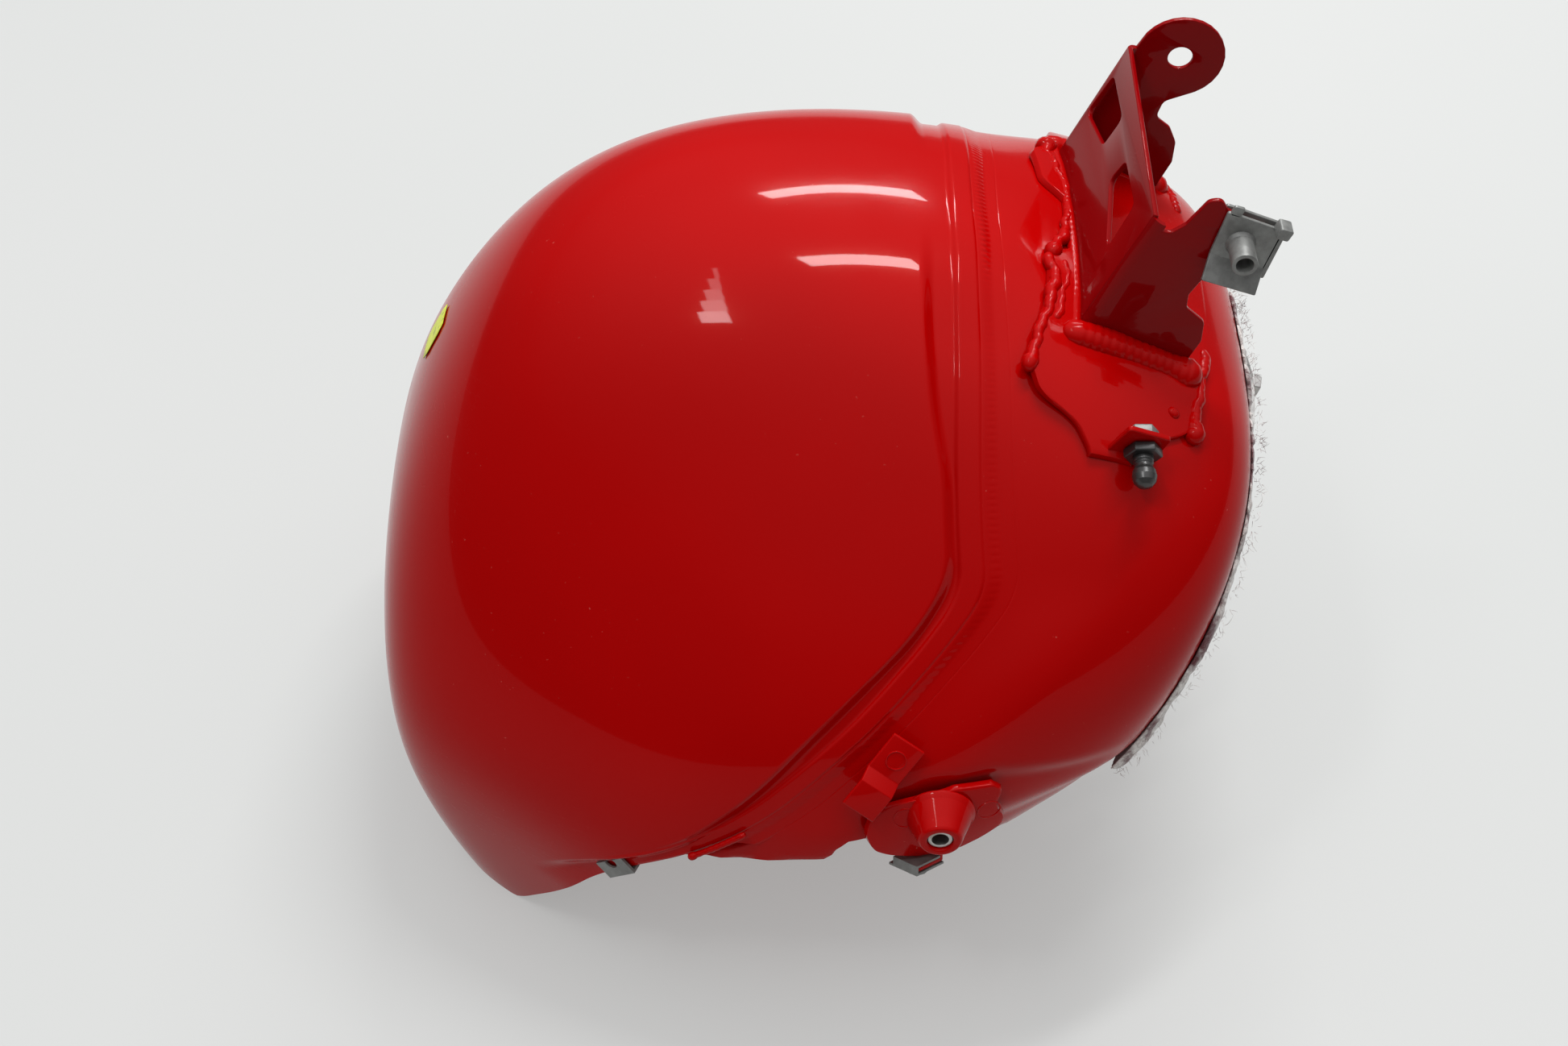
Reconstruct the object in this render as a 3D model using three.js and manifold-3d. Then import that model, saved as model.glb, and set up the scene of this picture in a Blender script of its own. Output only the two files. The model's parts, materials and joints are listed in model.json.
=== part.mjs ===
// Steel motorcycle fuel tank standing on its front end.
// X points from the tank's top skin to its underside, Y across the tank, Z up towards the seat end.
import * as THREE from 'three';
import Module from 'manifold-3d';
import { mergeVertices } from 'three/addons/utils/BufferGeometryUtils.js';

const wasm = await Module();
wasm.setup();

// ---------- driving dimensions, mm ----------
const ORIGIN = [-15.33, 0, 0];
const CEN = [10, 0, 140];
const SOFT = 8;
const EDGE = 20;
const RECESS_EDGE = 60;
const SCALLOP = 0.08;
const SKIN = 1.5;
const STEP = 2.9;
const RELIEF = 3.5;
const GAP = 0.3;
const COLS = 48;
const FRONT_Z = 0;

// Facets of the tank body: angle in the mid-plane, tilt to the side, distance from the centre.
const FACETS = [
  [180, 0, 182], [150, 0, 163], [120, 0, 173], [92, 0, 155], [62, 0, 152], [20, 0, 255],
  [-21, 0, 142], [-60, 0, 135], [-90, 0, 208], [-125, 0, 281], [-155, 0, 203], [0, 90, 185],
  [180, 50, 282], [135, 50, 146], [90, 50, 139], [45, 50, 198], [0, 50, 243], [-45, 50, 182],
  [-90, 50, 249], [-135, 50, 321],
];
const FRONT_FACE = [-0.53, 0.82, -0.22, 187.2];
// Planes that hollow the front for the airbox: normal and distance.
const RECESS = [[0.272, 0, -0.962, 84.8], [0, 0.469, -0.883, 119.8]];

// Rings round the body: angle from the rear top against angle from the top-skin pole, degrees.
const SEAM_RING = [
  [0, 114], [39, 114], [60, 114], [67, 114], [74, 109], [85, 99], [94, 89.5], [99, 84.5], [102, 80],
  [104, 78], [109, 70], [117, 64], [125, 61], [136, 57.5], [141, 56.5], [150, 52], [165, 47], [180, 45],
];
const CREASE_RING = [
  [0, 106], [27, 106], [39, 107], [51, 109], [65, 109], [73, 104], [79, 98], [88, 89], [95, 83],
  [100, 78], [105, 73], [109, 67], [117, 60], [125, 56], [136, 52], [150, 46], [180, 40],
];
const PAD_RING = [
  [0, 158], [40, 156], [60, 150], [71, 147], [86, 140], [101, 133], [106, 130], [120, 134],
  [140, 147], [180, 151],
];
const DENT_LINE = [[90, 96], [97, 95], [104, 92], [113, 91], [126, 94], [140, 99]];
const DENT = 3;

const RED = { color: 0xb3060b, roughness: 0.22, metalness: 0.1 };
const STEEL = { color: 0x8d8f90, roughness: 0.4, metalness: 0.9 };
const BLACK = { color: 0x151515, roughness: 0.55, metalness: 0.1 };
const ALLOY = { color: 0xb9bcc0, roughness: 0.35, metalness: 0.9 };

const group = new THREE.Group();
group.position.set(...ORIGIN);
const rad = Math.PI / 180;
const vec = (x, y, z) => new THREE.Vector3(x, y, z);
const centre = vec(...CEN);

// ---------- body surface ----------
const facets = [];
for (const [a, t, d] of FACETS) {
  const ca = Math.cos(a * rad) * Math.cos(t * rad);
  const sa = Math.sin(a * rad) * Math.cos(t * rad);
  facets.push([ca, Math.sin(t * rad), sa, d]);
  if (t !== 0) {
    facets.push([ca, -Math.sin(t * rad), sa, d]);
  }
}

function reach(u, planes, power) {
  let sum = 0;
  for (const [x, y, z, d] of planes) {
    sum += Math.pow(Math.max(0, (u.x * x + u.y * y + u.z * z) / d), power);
  }
  return sum;
}

const frontPlanes = [FRONT_FACE, [FRONT_FACE[0], -FRONT_FACE[1], FRONT_FACE[2], FRONT_FACE[3]]];
const recessPlanes = [RECESS[0], RECESS[1], [RECESS[1][0], -RECESS[1][1], RECESS[1][2], RECESS[1][3]]];
for (const p of frontPlanes) {
  const l = Math.hypot(p[0], p[1], p[2]);
  p[0] /= l;
  p[1] /= l;
  p[2] /= l;
}

function bodyRadius(u) {
  const soft = Math.pow(reach(u, facets, SOFT), 1 / SOFT);
  return 1 / Math.pow(Math.pow(soft, EDGE) + reach(u, frontPlanes, EDGE), 1 / EDGE);
}

// The airbox face, with a scallop across it behind the seam's end.
function recessRadius(u) {
  const sum = reach(u, recessPlanes, RECESS_EDGE);
  const phi = Math.acos(-u.x) / rad;
  const theta = Math.abs(Math.atan2(-u.y, u.z)) / rad;
  const side = 1 - smooth(112, 128, theta);
  const scallop = 1 - SCALLOP * side * smooth(91, 95, phi) * (1 - smooth(104, 111, phi));
  return sum > 1e-200 ? scallop / Math.pow(sum, 1 / RECESS_EDGE) : 1e4;
}

function inside(p) {
  const q = p.clone().sub(centre);
  const l = q.length();
  return l / bodyRadius(q.multiplyScalar(1 / l));
}

function normalAt(p) {
  const e = 0.4;
  const g = vec(
    inside(vec(p.x + e, p.y, p.z)) - inside(vec(p.x - e, p.y, p.z)),
    inside(vec(p.x, p.y + e, p.z)) - inside(vec(p.x, p.y - e, p.z)),
    inside(vec(p.x, p.y, p.z + e)) - inside(vec(p.x, p.y, p.z - e)),
  );
  return g.normalize();
}

// Direction from the two ring angles: theta round the X axis from +Z towards -Y, phi from -X.
function direction(theta, phi) {
  const s = Math.sin(phi * rad);
  return vec(-Math.cos(phi * rad), -s * Math.sin(theta * rad), s * Math.cos(theta * rad));
}

function ring(table, x) {
  let i = 0;
  while (i < table.length - 2 && x > table[i + 1][0]) {
    i += 1;
  }
  const [x0, y0] = table[i];
  const [x1, y1] = table[i + 1];
  const t = Math.min(1, Math.max(0, (x - x0) / (x1 - x0)));
  return y0 + (y1 - y0) * t;
}

function smooth(a, b, x) {
  const t = Math.min(1, Math.max(0, (x - a) / (b - a)));
  return t * t * (3 - 2 * t);
}

function smoothRing(table, x) {
  let sum = 0;
  for (let k = -2; k <= 2; k += 1) {
    sum += ring(table, Math.abs(Math.min(180, x + k * 1.6)));
  }
  return sum / 5;
}

const fold = (theta) => Math.abs(((theta + 540) % 360) - 180);

function skinPoint(theta, phi, lift) {
  const u = direction(theta, phi);
  const p = centre.clone().addScaledVector(u, bodyRadius(u));
  return p.addScaledVector(normalAt(p), lift);
}

// Angle of the shell's lower edge: the seam, or the level front rim where that comes first.
function rimAngle(theta) {
  const t = fold(theta);
  const edge = smoothRing(SEAM_RING, t);
  if (t < 118) {
    return edge;
  }
  let lo = 20;
  let hi = 75;
  for (let k = 0; k < 30; k += 1) {
    const mid = (lo + hi) / 2;
    if (skinPoint(theta, mid, 0).z > FRONT_Z) {
      lo = mid;
    } else {
      hi = mid;
    }
  }
  return Math.min(edge, lo);
}

function shellLift(theta, phi) {
  const t = fold(theta);
  const crease = Math.min(smoothRing(CREASE_RING, t), rimAngle(theta) - 3);
  const fade = smooth(8, 30, t) * (1 - smooth(112, 126, t));
  return -RELIEF * fade * smooth(crease - 0.6, crease + 1.6, phi);
}

// ---------- solids from grids ----------
function geometryOf(vertices, faces) {
  const g = new THREE.BufferGeometry();
  g.setAttribute('position', new THREE.Float32BufferAttribute(vertices.flatMap((p) => [p.x, p.y, p.z]), 3));
  g.setIndex(faces);
  return g;
}

// Closed thick sheet from two grids of the same size; wrap closes the columns on themselves.
// A row with one point is a pole.
function sheet(outer, inner, wrap) {
  const vertices = [];
  const faces = [];
  const index = [outer, inner].map((grid) => grid.map((row) => row.map((p) => vertices.push(p) - 1)));
  const quad = (a, b, c, d) => {
    if (a !== b && b !== c && a !== c) {
      faces.push(a, b, c);
    }
    if (a !== c && c !== d && a !== d) {
      faces.push(a, c, d);
    }
  };
  const cell = (grid, i, j, cols) => {
    const up = grid[i];
    const low = grid[i + 1];
    const a = up[up.length === 1 ? 0 : j];
    const b = up[up.length === 1 ? 0 : (j + 1) % cols];
    const c = low[low.length === 1 ? 0 : (j + 1) % cols];
    const d = low[low.length === 1 ? 0 : j];
    return [a, b, c, d];
  };
  const rows = outer.length;
  const cols = Math.max(...outer.map((row) => row.length));
  const last = wrap ? cols : cols - 1;
  for (let i = 0; i < rows - 1; i += 1) {
    for (let j = 0; j < last; j += 1) {
      const [a, b, c, d] = cell(index[0], i, j, cols);
      quad(a, d, c, b);
      const [e, f, g, h] = cell(index[1], i, j, cols);
      quad(e, f, g, h);
    }
    if (!wrap) {
      quad(index[0][i][0], index[1][i][0], index[1][i + 1][0], index[0][i + 1][0]);
      const k = cols - 1;
      quad(index[0][i][k], index[0][i + 1][k], index[1][i + 1][k], index[1][i][k]);
    }
  }
  for (const [i, flip] of [[0, false], [rows - 1, true]]) {
    if (outer[i].length > 1) {
      for (let j = 0; j < last; j += 1) {
        const n = (j + 1) % cols;
        const [a, b, c, d] = [index[0][i][j], index[0][i][n], index[1][i][n], index[1][i][j]];
        if (flip) {
          quad(a, d, c, b);
        } else {
          quad(a, b, c, d);
        }
      }
    }
  }
  return fixWinding(geometryOf(vertices, faces));
}

function fixWinding(g) {
  const p = g.getAttribute('position');
  const idx = g.getIndex();
  const [a, b, c] = [vec(0, 0, 0), vec(0, 0, 0), vec(0, 0, 0)];
  let volume = 0;
  for (let i = 0; i < idx.count; i += 3) {
    a.fromBufferAttribute(p, idx.getX(i));
    b.fromBufferAttribute(p, idx.getX(i + 1));
    c.fromBufferAttribute(p, idx.getX(i + 2));
    volume += a.dot(b.cross(c));
  }
  if (volume < 0) {
    for (let i = 0; i < idx.count; i += 3) {
      const t = idx.getX(i);
      idx.setX(i, idx.getX(i + 1));
      idx.setX(i + 1, t);
    }
  }
  return g;
}

// ---------- booleans ----------
function solidOf(source, matrix) {
  const g = source.clone();
  if (matrix) {
    g.applyMatrix4(matrix);
  }
  g.deleteAttribute('normal');
  g.deleteAttribute('uv');
  const m = mergeVertices(g, 1e-4);
  return new wasm.Manifold(new wasm.Mesh({
    numProp: 3,
    vertProperties: new Float32Array(m.getAttribute('position').array),
    triVerts: new Uint32Array(m.getIndex().array),
  }));
}

function geometryFrom(solid) {
  const mesh = solid.getMesh();
  const g = new THREE.BufferGeometry();
  g.setAttribute('position', new THREE.Float32BufferAttribute(mesh.vertProperties, 3));
  g.setIndex(Array.from(mesh.triVerts));
  return g;
}

function join(first, ...rest) {
  return rest.reduce((a, b) => a.add(b), first);
}

function cut(first, ...rest) {
  return rest.reduce((a, b) => a.subtract(b), first);
}

// ---------- placing ----------
function frameAt(origin, xAxis, yAxis, zAxis) {
  return new THREE.Matrix4().makeBasis(xAxis, yAxis, zAxis).setPosition(origin);
}

// Frame whose Z is the given axis and whose X lies as near as it can to the hint.
function frameAlong(origin, axis, hint) {
  const z = axis.clone().normalize();
  const y = z.clone().cross(hint).normalize();
  const x = y.clone().cross(z);
  return frameAt(origin, x, y, z);
}

const shift = (x, y, z) => new THREE.Matrix4().makeTranslation(x, y, z);

// Rod or ring along Z from z0 to z1.
function rod(radius, z0, z1, sides = 20, bore = 0) {
  const profile = bore
    ? [[bore, z0], [radius, z0], [radius, z1], [bore, z1], [bore, z0]]
    : [[0, z0], [radius, z0], [radius, z1], [0, z1]];
  return turned(profile, sides);
}

function turned(profile, sides = 24) {
  const line = profile.map(([r, z]) => new THREE.Vector2(r, z));
  return new THREE.LatheGeometry(line, sides).rotateX(Math.PI / 2);
}

function block(x0, x1, y0, y1, z0, z1) {
  const g = new THREE.BoxGeometry(x1 - x0, y1 - y0, z1 - z0);
  return g.translate((x0 + x1) / 2, (y0 + y1) / 2, (z0 + z1) / 2);
}

function plate(points, thickness, holes = []) {
  const shape = new THREE.Shape(points.map(([x, y]) => new THREE.Vector2(x, y)));
  for (const hole of holes) {
    const points = [];
    if (typeof hole[0] === 'number') {
      for (let k = 0; k < 18; k += 1) {
        const a = (k / 18) * Math.PI * 2;
        points.push(new THREE.Vector2(hole[0] + hole[2] * Math.cos(a), hole[1] + hole[2] * Math.sin(a)));
      }
    } else {
      points.push(...hole.map(([x, y]) => new THREE.Vector2(x, y)));
    }
    shape.holes.push(new THREE.Path(points));
  }
  return new THREE.ExtrudeGeometry(shape, { depth: thickness, bevelEnabled: false, curveSegments: 8 });
}

// Turns the faces of a mirrored geometry out again.
function flipped(geometry) {
  const g = geometry.getIndex() ? geometry : mergeVertices(geometry, 1e-4);
  const idx = g.getIndex();
  for (let i = 0; i < idx.count; i += 3) {
    const t = idx.getX(i);
    idx.setX(i, idx.getX(i + 1));
    idx.setX(i + 1, t);
  }
  return g;
}

function add(name, geometry, look, matrix) {
  let g = geometry.clone();
  if (matrix) {
    g.applyMatrix4(matrix);
    if (matrix.determinant() < 0) {
      g = flipped(g);
    }
  }
  const mesh = new THREE.Mesh(g, new THREE.MeshStandardMaterial(look));
  mesh.name = name;
  group.add(mesh);
}

const MIRROR = new THREE.Matrix4().makeScale(1, -1, 1);
const bothSides = (name, geometry, look) => {
  add(`${name}_left`, geometry, look);
  add(`${name}_right`, geometry, look, MIRROR);
};

// ---------- outer shell ----------
const thetas = [];
for (let j = 0; j < COLS; j += 1) {
  thetas.push((j * 360) / COLS);
}
const SHELL_ROWS = [0.13, 0.27, 0.41, 0.55, 0.69, 0.82, 0.93];

function shellRows(lift) {
  const rows = [[skinPoint(0, 0.01, lift)]];
  const creases = thetas.map((t) => Math.min(smoothRing(CREASE_RING, fold(t)), rimAngle(t) - 3));
  for (const f of SHELL_ROWS) {
    rows.push(thetas.map((t, j) => skinPoint(t, creases[j] * f, shellLift(t, creases[j] * f) + lift)));
  }
  for (const extra of [-0.7, 1.7]) {
    const phis = creases.map((phi) => phi + extra);
    rows.push(thetas.map((t, j) => skinPoint(t, phis[j], shellLift(t, phis[j]) + lift)));
  }
  rows.push(thetas.map((t) => {
    const p = skinPoint(t, rimAngle(t), shellLift(t, rimAngle(t)) + lift);
    p.z = Math.max(p.z, 0);
    return p;
  }));
  return rows;
}

const shellSolid = solidOf(sheet(shellRows(0), shellRows(-SKIN), true));

// ---------- filler frame: Z out of the skin, Y towards the seat end ----------
const FILLER_AT = [-160.5, 0, 87];
const FILLER_TILT = 5;
const fillerFrame = frameAt(
  vec(...FILLER_AT),
  vec(0, -1, 0),
  vec(-Math.sin(FILLER_TILT * rad), 0, Math.cos(FILLER_TILT * rad)),
  vec(-Math.cos(FILLER_TILT * rad), 0, -Math.sin(FILLER_TILT * rad)),
);
const DISH_RADIUS = 55;
const DISH_DEPTH = 13;
const NECK_BORE = 25;
const NECK_LENGTH = 50;
const inFiller = (g, m) => solidOf(g, m ? fillerFrame.clone().multiply(m) : fillerFrame);

// ---------- rim clip frame: X towards the rim, Z out of the skin ----------
const CLIP_THETA = 113;
const rimPoint = (theta) => skinPoint(theta, rimAngle(theta), shellLift(theta, rimAngle(theta)));
const clipRim = rimPoint(CLIP_THETA);
const clipNormal = normalAt(clipRim);
const clipAlong = rimPoint(CLIP_THETA + 3).sub(rimPoint(CLIP_THETA - 3)).normalize();
const clipOut = clipNormal.clone().cross(clipAlong).normalize();
if (clipOut.dot(clipRim.clone().sub(skinPoint(CLIP_THETA, rimAngle(CLIP_THETA) - 3, 0))) < 0) {
  clipOut.negate();
}
const clipFrame = frameAlong(clipRim.clone().addScaledVector(clipOut, -5), clipNormal, clipOut);
const mirrored = (g, m) => solidOf(flipped(g.clone().applyMatrix4(MIRROR.clone().multiply(m))));
const shellCut = cut(
  shellSolid,
  inFiller(rod(DISH_RADIUS, -30, 30, 36)),
  solidOf(rod(3, -6, 6, 16), clipFrame),
  mirrored(rod(3, -6, 6, 16), clipFrame),
);
add('outer_shell', geometryFrom(shellCut), RED);

// ---------- lower pan ----------
function dentLift(t, phi) {
  const line = ring(DENT_LINE, phi);
  const along = smooth(92, 99, phi) * (1 - smooth(118, 134, phi));
  return -DENT * along * smooth(line, line + 4, t);
}

// How deep the pan lies under the shell, more where the two meet on the front.
const tuck = (t) => STEP + GAP + 1.1 * smooth(106, 128, t);

function panPoint(theta, phi, lift) {
  const t = fold(theta);
  const u = direction(theta, phi);
  const rim = rimAngle(theta);
  const step = -tuck(t) * (1 - smooth(rim + 2.6, rim + 4, phi) * (1 - smooth(100, 108, t)));
  const seamFade = smooth(rim + 18, rim + 2.6, phi);
  const p = skinPoint(theta, phi, step + shellLift(theta, rim) * seamFade + dentLift(t, phi));
  const r = p.clone().sub(centre).length();
  const recess = recessRadius(u);
  const q = centre.clone().addScaledVector(p.clone().sub(centre).normalize(), Math.min(r, recess));
  const n = r < recess ? normalAt(p) : recessNormal(u);
  return q.addScaledVector(n, lift);
}

function recessNormal(u) {
  const g = vec(0, 0, 0);
  for (const [x, y, z, d] of recessPlanes) {
    const w = Math.pow(Math.max(0, (u.x * x + u.y * y + u.z * z) / d), RECESS_EDGE - 1);
    g.add(vec(x, y, z).multiplyScalar(w / d));
  }
  return g.normalize();
}

// Where the pan starts: tucked under the seam, or where the airbox face meets the inside of the shell.
function panStart(theta) {
  const rim = rimAngle(theta);
  const top = rim - 1.4;
  const clear = (phi) => {
    const p = skinPoint(theta, phi, -tuck(fold(theta)) + shellLift(theta, rim)).sub(centre);
    const r = p.length();
    return recessRadius(p.multiplyScalar(1 / r)) - r;
  };
  if (clear(top) > 0) {
    return top;
  }
  let lo = 15;
  let hi = top;
  for (let k = 0; k < 30; k += 1) {
    const mid = (lo + hi) / 2;
    if (clear(mid) > 0) {
      lo = mid;
    } else {
      hi = mid;
    }
  }
  return lo;
}

const starts = thetas.map((t) => panStart(t));
const panLevels = [0, 1.2, 3.8, 5.6];
const PAN_ROWS = [0.14, 0.29, 0.44, 0.58, 0.72, 0.86];

function panRows(lift) {
  const rows = panLevels.map((d) => thetas.map((t, j) => panPoint(t, starts[j] + d, lift)));
  for (const f of PAN_ROWS) {
    rows.push(thetas.map((t, j) => {
      const a = starts[j] + panLevels[3];
      return panPoint(t, a + (180 - a) * f, lift);
    }));
  }
  rows.push([panPoint(0, 179.99, lift)]);
  return rows;
}

const panSolid = solidOf(sheet(panRows(0), panRows(-SKIN), true));

// ---------- pump frame: Z out of the underside ----------
const PUMP_TILT = 17;
const pumpAxis = vec(Math.cos(PUMP_TILT * rad), 0, -Math.sin(PUMP_TILT * rad));
const pumpAt = vec(160.5, 0, 138);
const pumpFrame = frameAlong(pumpAt, pumpAxis, vec(0, 1, 0));
const inPump = (g, m) => solidOf(g, m ? pumpFrame.clone().multiply(m) : pumpFrame);
const PUMP_RING = 54;
const PUMP_BORE = 38;

// ---------- drain and breather pipes ----------
const PIPE_RADIUS = 3.4;
const DRAIN_AT = [14, -46.5];
const drainStart = vec(DRAIN_AT[0], DRAIN_AT[1], -12.9).applyMatrix4(fillerFrame);
const pipeRun = (side) => new THREE.CatmullRomCurve3([
  vec(drainStart.x, side * DRAIN_AT[0], drainStart.z),
  vec(-120, side * 15, drainStart.z + 3),
  vec(-60, side * 24, 64),
  vec(20, side * 34, 88),
  vec(90, side * 40, 96),
  vec(136, side * 41, 92),
  vec(160, side * 41, 92),
]);
function pipe(side, radius, bore) {
  const shape = new THREE.Shape();
  shape.absarc(0, 0, radius, 0, Math.PI * 2, false);
  if (bore) {
    const hole = new THREE.Path();
    hole.absarc(0, 0, bore, 0, Math.PI * 2, true);
    shape.holes.push(hole);
  }
  return new THREE.ExtrudeGeometry(shape, {
    steps: 16, curveSegments: 4, bevelEnabled: false, extrudePath: pipeRun(side),
  });
}

const panCut = cut(
  panSolid,
  inPump(rod(PUMP_RING + 0.6, -40, 40, 30)),
  solidOf(pipe(-1, PIPE_RADIUS + 0.4)),
  solidOf(pipe(1, PIPE_RADIUS + 0.4)),
);
add('lower_pan', geometryFrom(panCut), RED);
add('drain_pipe', pipe(-1, PIPE_RADIUS, PIPE_RADIUS - 1.2), STEEL);
add('breather_pipe', pipe(1, PIPE_RADIUS, PIPE_RADIUS - 1.2), STEEL);

// ---------- seam weld ----------
const BEAD = 1.6;
const beadPoints = [];
for (let t = -100; t <= 100.01; t += 5) {
  const lift = shellLift(t, rimAngle(t)) - STEP + 0.15 + BEAD;
  beadPoints.push(skinPoint(t, rimAngle(t) + 1.25, lift));
}
const beadShape = new THREE.Shape();
beadShape.absarc(0, 0, BEAD, 0, Math.PI * 2, false);
const bead = new THREE.ExtrudeGeometry(beadShape, {
  steps: 58, curveSegments: 3, bevelEnabled: false, extrudePath: new THREE.CatmullRomCurve3(beadPoints),
});
add('seam_weld', bead, RED);

// ---------- filler recess and cap ----------
function closedSkin(lift) {
  const rows = [[skinPoint(0, 0.01, lift)]];
  for (let phi = 6; phi < 179; phi += 6) {
    rows.push(thetas.map((t) => skinPoint(t, phi, lift)));
  }
  rows.push([skinPoint(0, 179.99, lift)]);
  const vertices = [];
  const faces = [];
  const index = rows.map((row) => row.map((p) => vertices.push(p) - 1));
  for (let i = 0; i < rows.length - 1; i += 1) {
    for (let j = 0; j < COLS; j += 1) {
      const n = (j + 1) % COLS;
      const [a, b] = index[i].length === 1 ? [index[i][0], index[i][0]] : [index[i][j], index[i][n]];
      const next = index[i + 1];
      const [c, d] = next.length === 1 ? [next[0], next[0]] : [next[n], next[j]];
      if (a !== b) {
        faces.push(a, c === d ? c : d, b);
      }
      if (c !== d) {
        faces.push(b, d, c);
      }
    }
  }
  return solidOf(fixWinding(geometryOf(vertices, faces)));
}

const SCREWS = 5;
const SCREW_CIRCLE = 38;
const CAP_RADIUS = 44;
const WELL = 33;
const SPIGOT = 22;
const HINGE_Y = -36.5;
const HINGE_Z = -2.9;
const screwAt = (k) => {
  const a = (90 + k * (360 / SCREWS)) * rad;
  return shift(SCREW_CIRCLE * Math.cos(a), SCREW_CIRCLE * Math.sin(a), 0);
};
const screwHoles = [];
for (let k = 0; k < SCREWS; k += 1) {
  screwHoles.push(inFiller(rod(2.5, -30, 10, 8), screwAt(k)));
}
const dish = turned([
  [NECK_BORE, -NECK_LENGTH], [NECK_BORE + 1.5, -NECK_LENGTH], [NECK_BORE + 1.5, -DISH_DEPTH - 1.5],
  [DISH_RADIUS - GAP, -DISH_DEPTH - 1.5], [DISH_RADIUS - GAP, 9], [DISH_RADIUS - 1.8, 9],
  [DISH_RADIUS - 1.8, -DISH_DEPTH], [NECK_BORE, -DISH_DEPTH], [NECK_BORE, -NECK_LENGTH],
], 36);
const dishSolid = cut(
  inFiller(dish).intersect(closedSkin(0)),
  ...screwHoles,
  solidOf(pipe(-1, PIPE_RADIUS + 0.4)),
  solidOf(pipe(1, PIPE_RADIUS + 0.4)),
  inFiller(rod(PIPE_RADIUS + 0.6, -16, -8, 12), shift(DRAIN_AT[0], DRAIN_AT[1], 0)),
  inFiller(rod(PIPE_RADIUS + 0.6, -16, -8, 12), shift(-DRAIN_AT[0], DRAIN_AT[1], 0)),
);
add('filler_recess', geometryFrom(dishSolid), RED);

const capBase = turned([
  [SPIGOT, -22], [SPIGOT + 2.7, -22], [SPIGOT + 2.7, -12.7], [CAP_RADIUS, -12.7], [CAP_RADIUS, -8],
  [CAP_RADIUS - 2, -5.2], [WELL, -5.2], [WELL, -9], [SPIGOT, -9], [SPIGOT, -22],
], 32);
const ear = (x) => inFiller(block(x, x + 3.5, HINGE_Y - 3, HINGE_Y + 2.9, -6.5, 0.1));
const hingeRod = rod(1.6, -14, 14, 12).rotateY(Math.PI / 2);
const hingeAt = shift(0, HINGE_Y, HINGE_Z);
const countersink = turned([[0, -7.7], [2.5, -7.7], [3.9, -6.22], [3.9, 0], [0, 0]], 16);
const countersinks = [];
for (let k = 0; k < SCREWS; k += 1) {
  countersinks.push(inFiller(countersink, screwAt(k)));
}
const baseSolid = cut(
  join(
    cut(inFiller(capBase), inFiller(block(-7, 7, -CAP_RADIUS - 2, -WELL + 1, -6.6, 3))),
    ear(-10.5),
    ear(7),
  ),
  inFiller(hingeRod, hingeAt),
  ...screwHoles,
  ...countersinks,
);
add('cap_base', geometryFrom(baseSolid), ALLOY);
const screw = turned([
  [0, -20], [1.9, -20], [1.9, -7.9], [3.6, -6.1], [3.6, -5.6], [1.5, -5.5], [1.5, -6.8], [0, -6.8],
], 12);
for (let k = 0; k < SCREWS; k += 1) {
  add(`cap_screw_${k + 1}`, screw, STEEL, fillerFrame.clone().multiply(screwAt(k)));
}
const hingePin = rod(1.3, -10.3, 10.3, 12).rotateY(Math.PI / 2);
add('cap_hinge_pin', hingePin, STEEL, fillerFrame.clone().multiply(hingeAt));

const LOCK_BORE = 6.3;
const lidBody = turned([
  [LOCK_BORE, -22.2], [18.5, -22.2], [18.5, -6.7], [32, -6.7], [32.5, -5.5], [31.5, -3.4], [18, -2.6],
  [LOCK_BORE, -2.6], [LOCK_BORE, -22.2],
], 32);
const knuckle = rod(3, -6.6, 6.6, 14).rotateY(Math.PI / 2);
const lidSolid = cut(
  join(
    inFiller(lidBody),
    inFiller(knuckle, hingeAt),
    inFiller(block(-6.6, 6.6, HINGE_Y, -29, -4.9, -2.2)),
  ),
  inFiller(hingeRod, hingeAt),
);
add('cap_lid', geometryFrom(lidSolid), ALLOY);
add('cap_gasket', rod(29, -8.7, -7, 32, 24), BLACK, fillerFrame);
const barrel = cut(inFiller(rod(6, -22.2, -3, 20)), inFiller(block(-0.8, 0.8, -3.4, 3.4, -6, 0)));
add('lock_barrel', geometryFrom(barrel), STEEL);
add('cap_latch', block(-5, 5, 0, 17, -25, -22.5), STEEL, fillerFrame);
const flapOutline = [];
for (let k = 0; k <= 8; k += 1) {
  const a = (k / 8) * Math.PI;
  flapOutline.push([9 * Math.cos(a), 6 + 9 * Math.sin(a)]);
}
flapOutline.push([-9, -13], [9, -13]);
add('key_cover', plate(flapOutline, 1.5), BLACK, fillerFrame.clone().multiply(shift(0, 0, -2)));

// ---------- fuel pump and level sender ----------
const BOLTS = 5;
const BOLT_CIRCLE = 48;
const boltAt = (k) => {
  const a = (90 + k * (360 / BOLTS)) * rad;
  return shift(BOLT_CIRCLE * Math.cos(a), BOLT_CIRCLE * Math.sin(a), 0);
};
const boltHoles = [];
for (let k = 0; k < BOLTS; k += 1) {
  boltHoles.push(inPump(rod(3, -20, 20, 8), boltAt(k)));
}
add('pump_ring', geometryFrom(cut(inPump(rod(PUMP_RING, -9, 3, 30, PUMP_BORE)), ...boltHoles)), STEEL);
add('pump_seal', rod(43.5, 3.3, 4.6, 32, 39.5), BLACK, pumpFrame);
const cover = turned([[0, 4.9], [53, 4.9], [53, 8], [34, 8], [32, 11], [0, 11]], 30);
add('pump_cover', geometryFrom(cut(inPump(cover), ...boltHoles)), STEEL);
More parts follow.
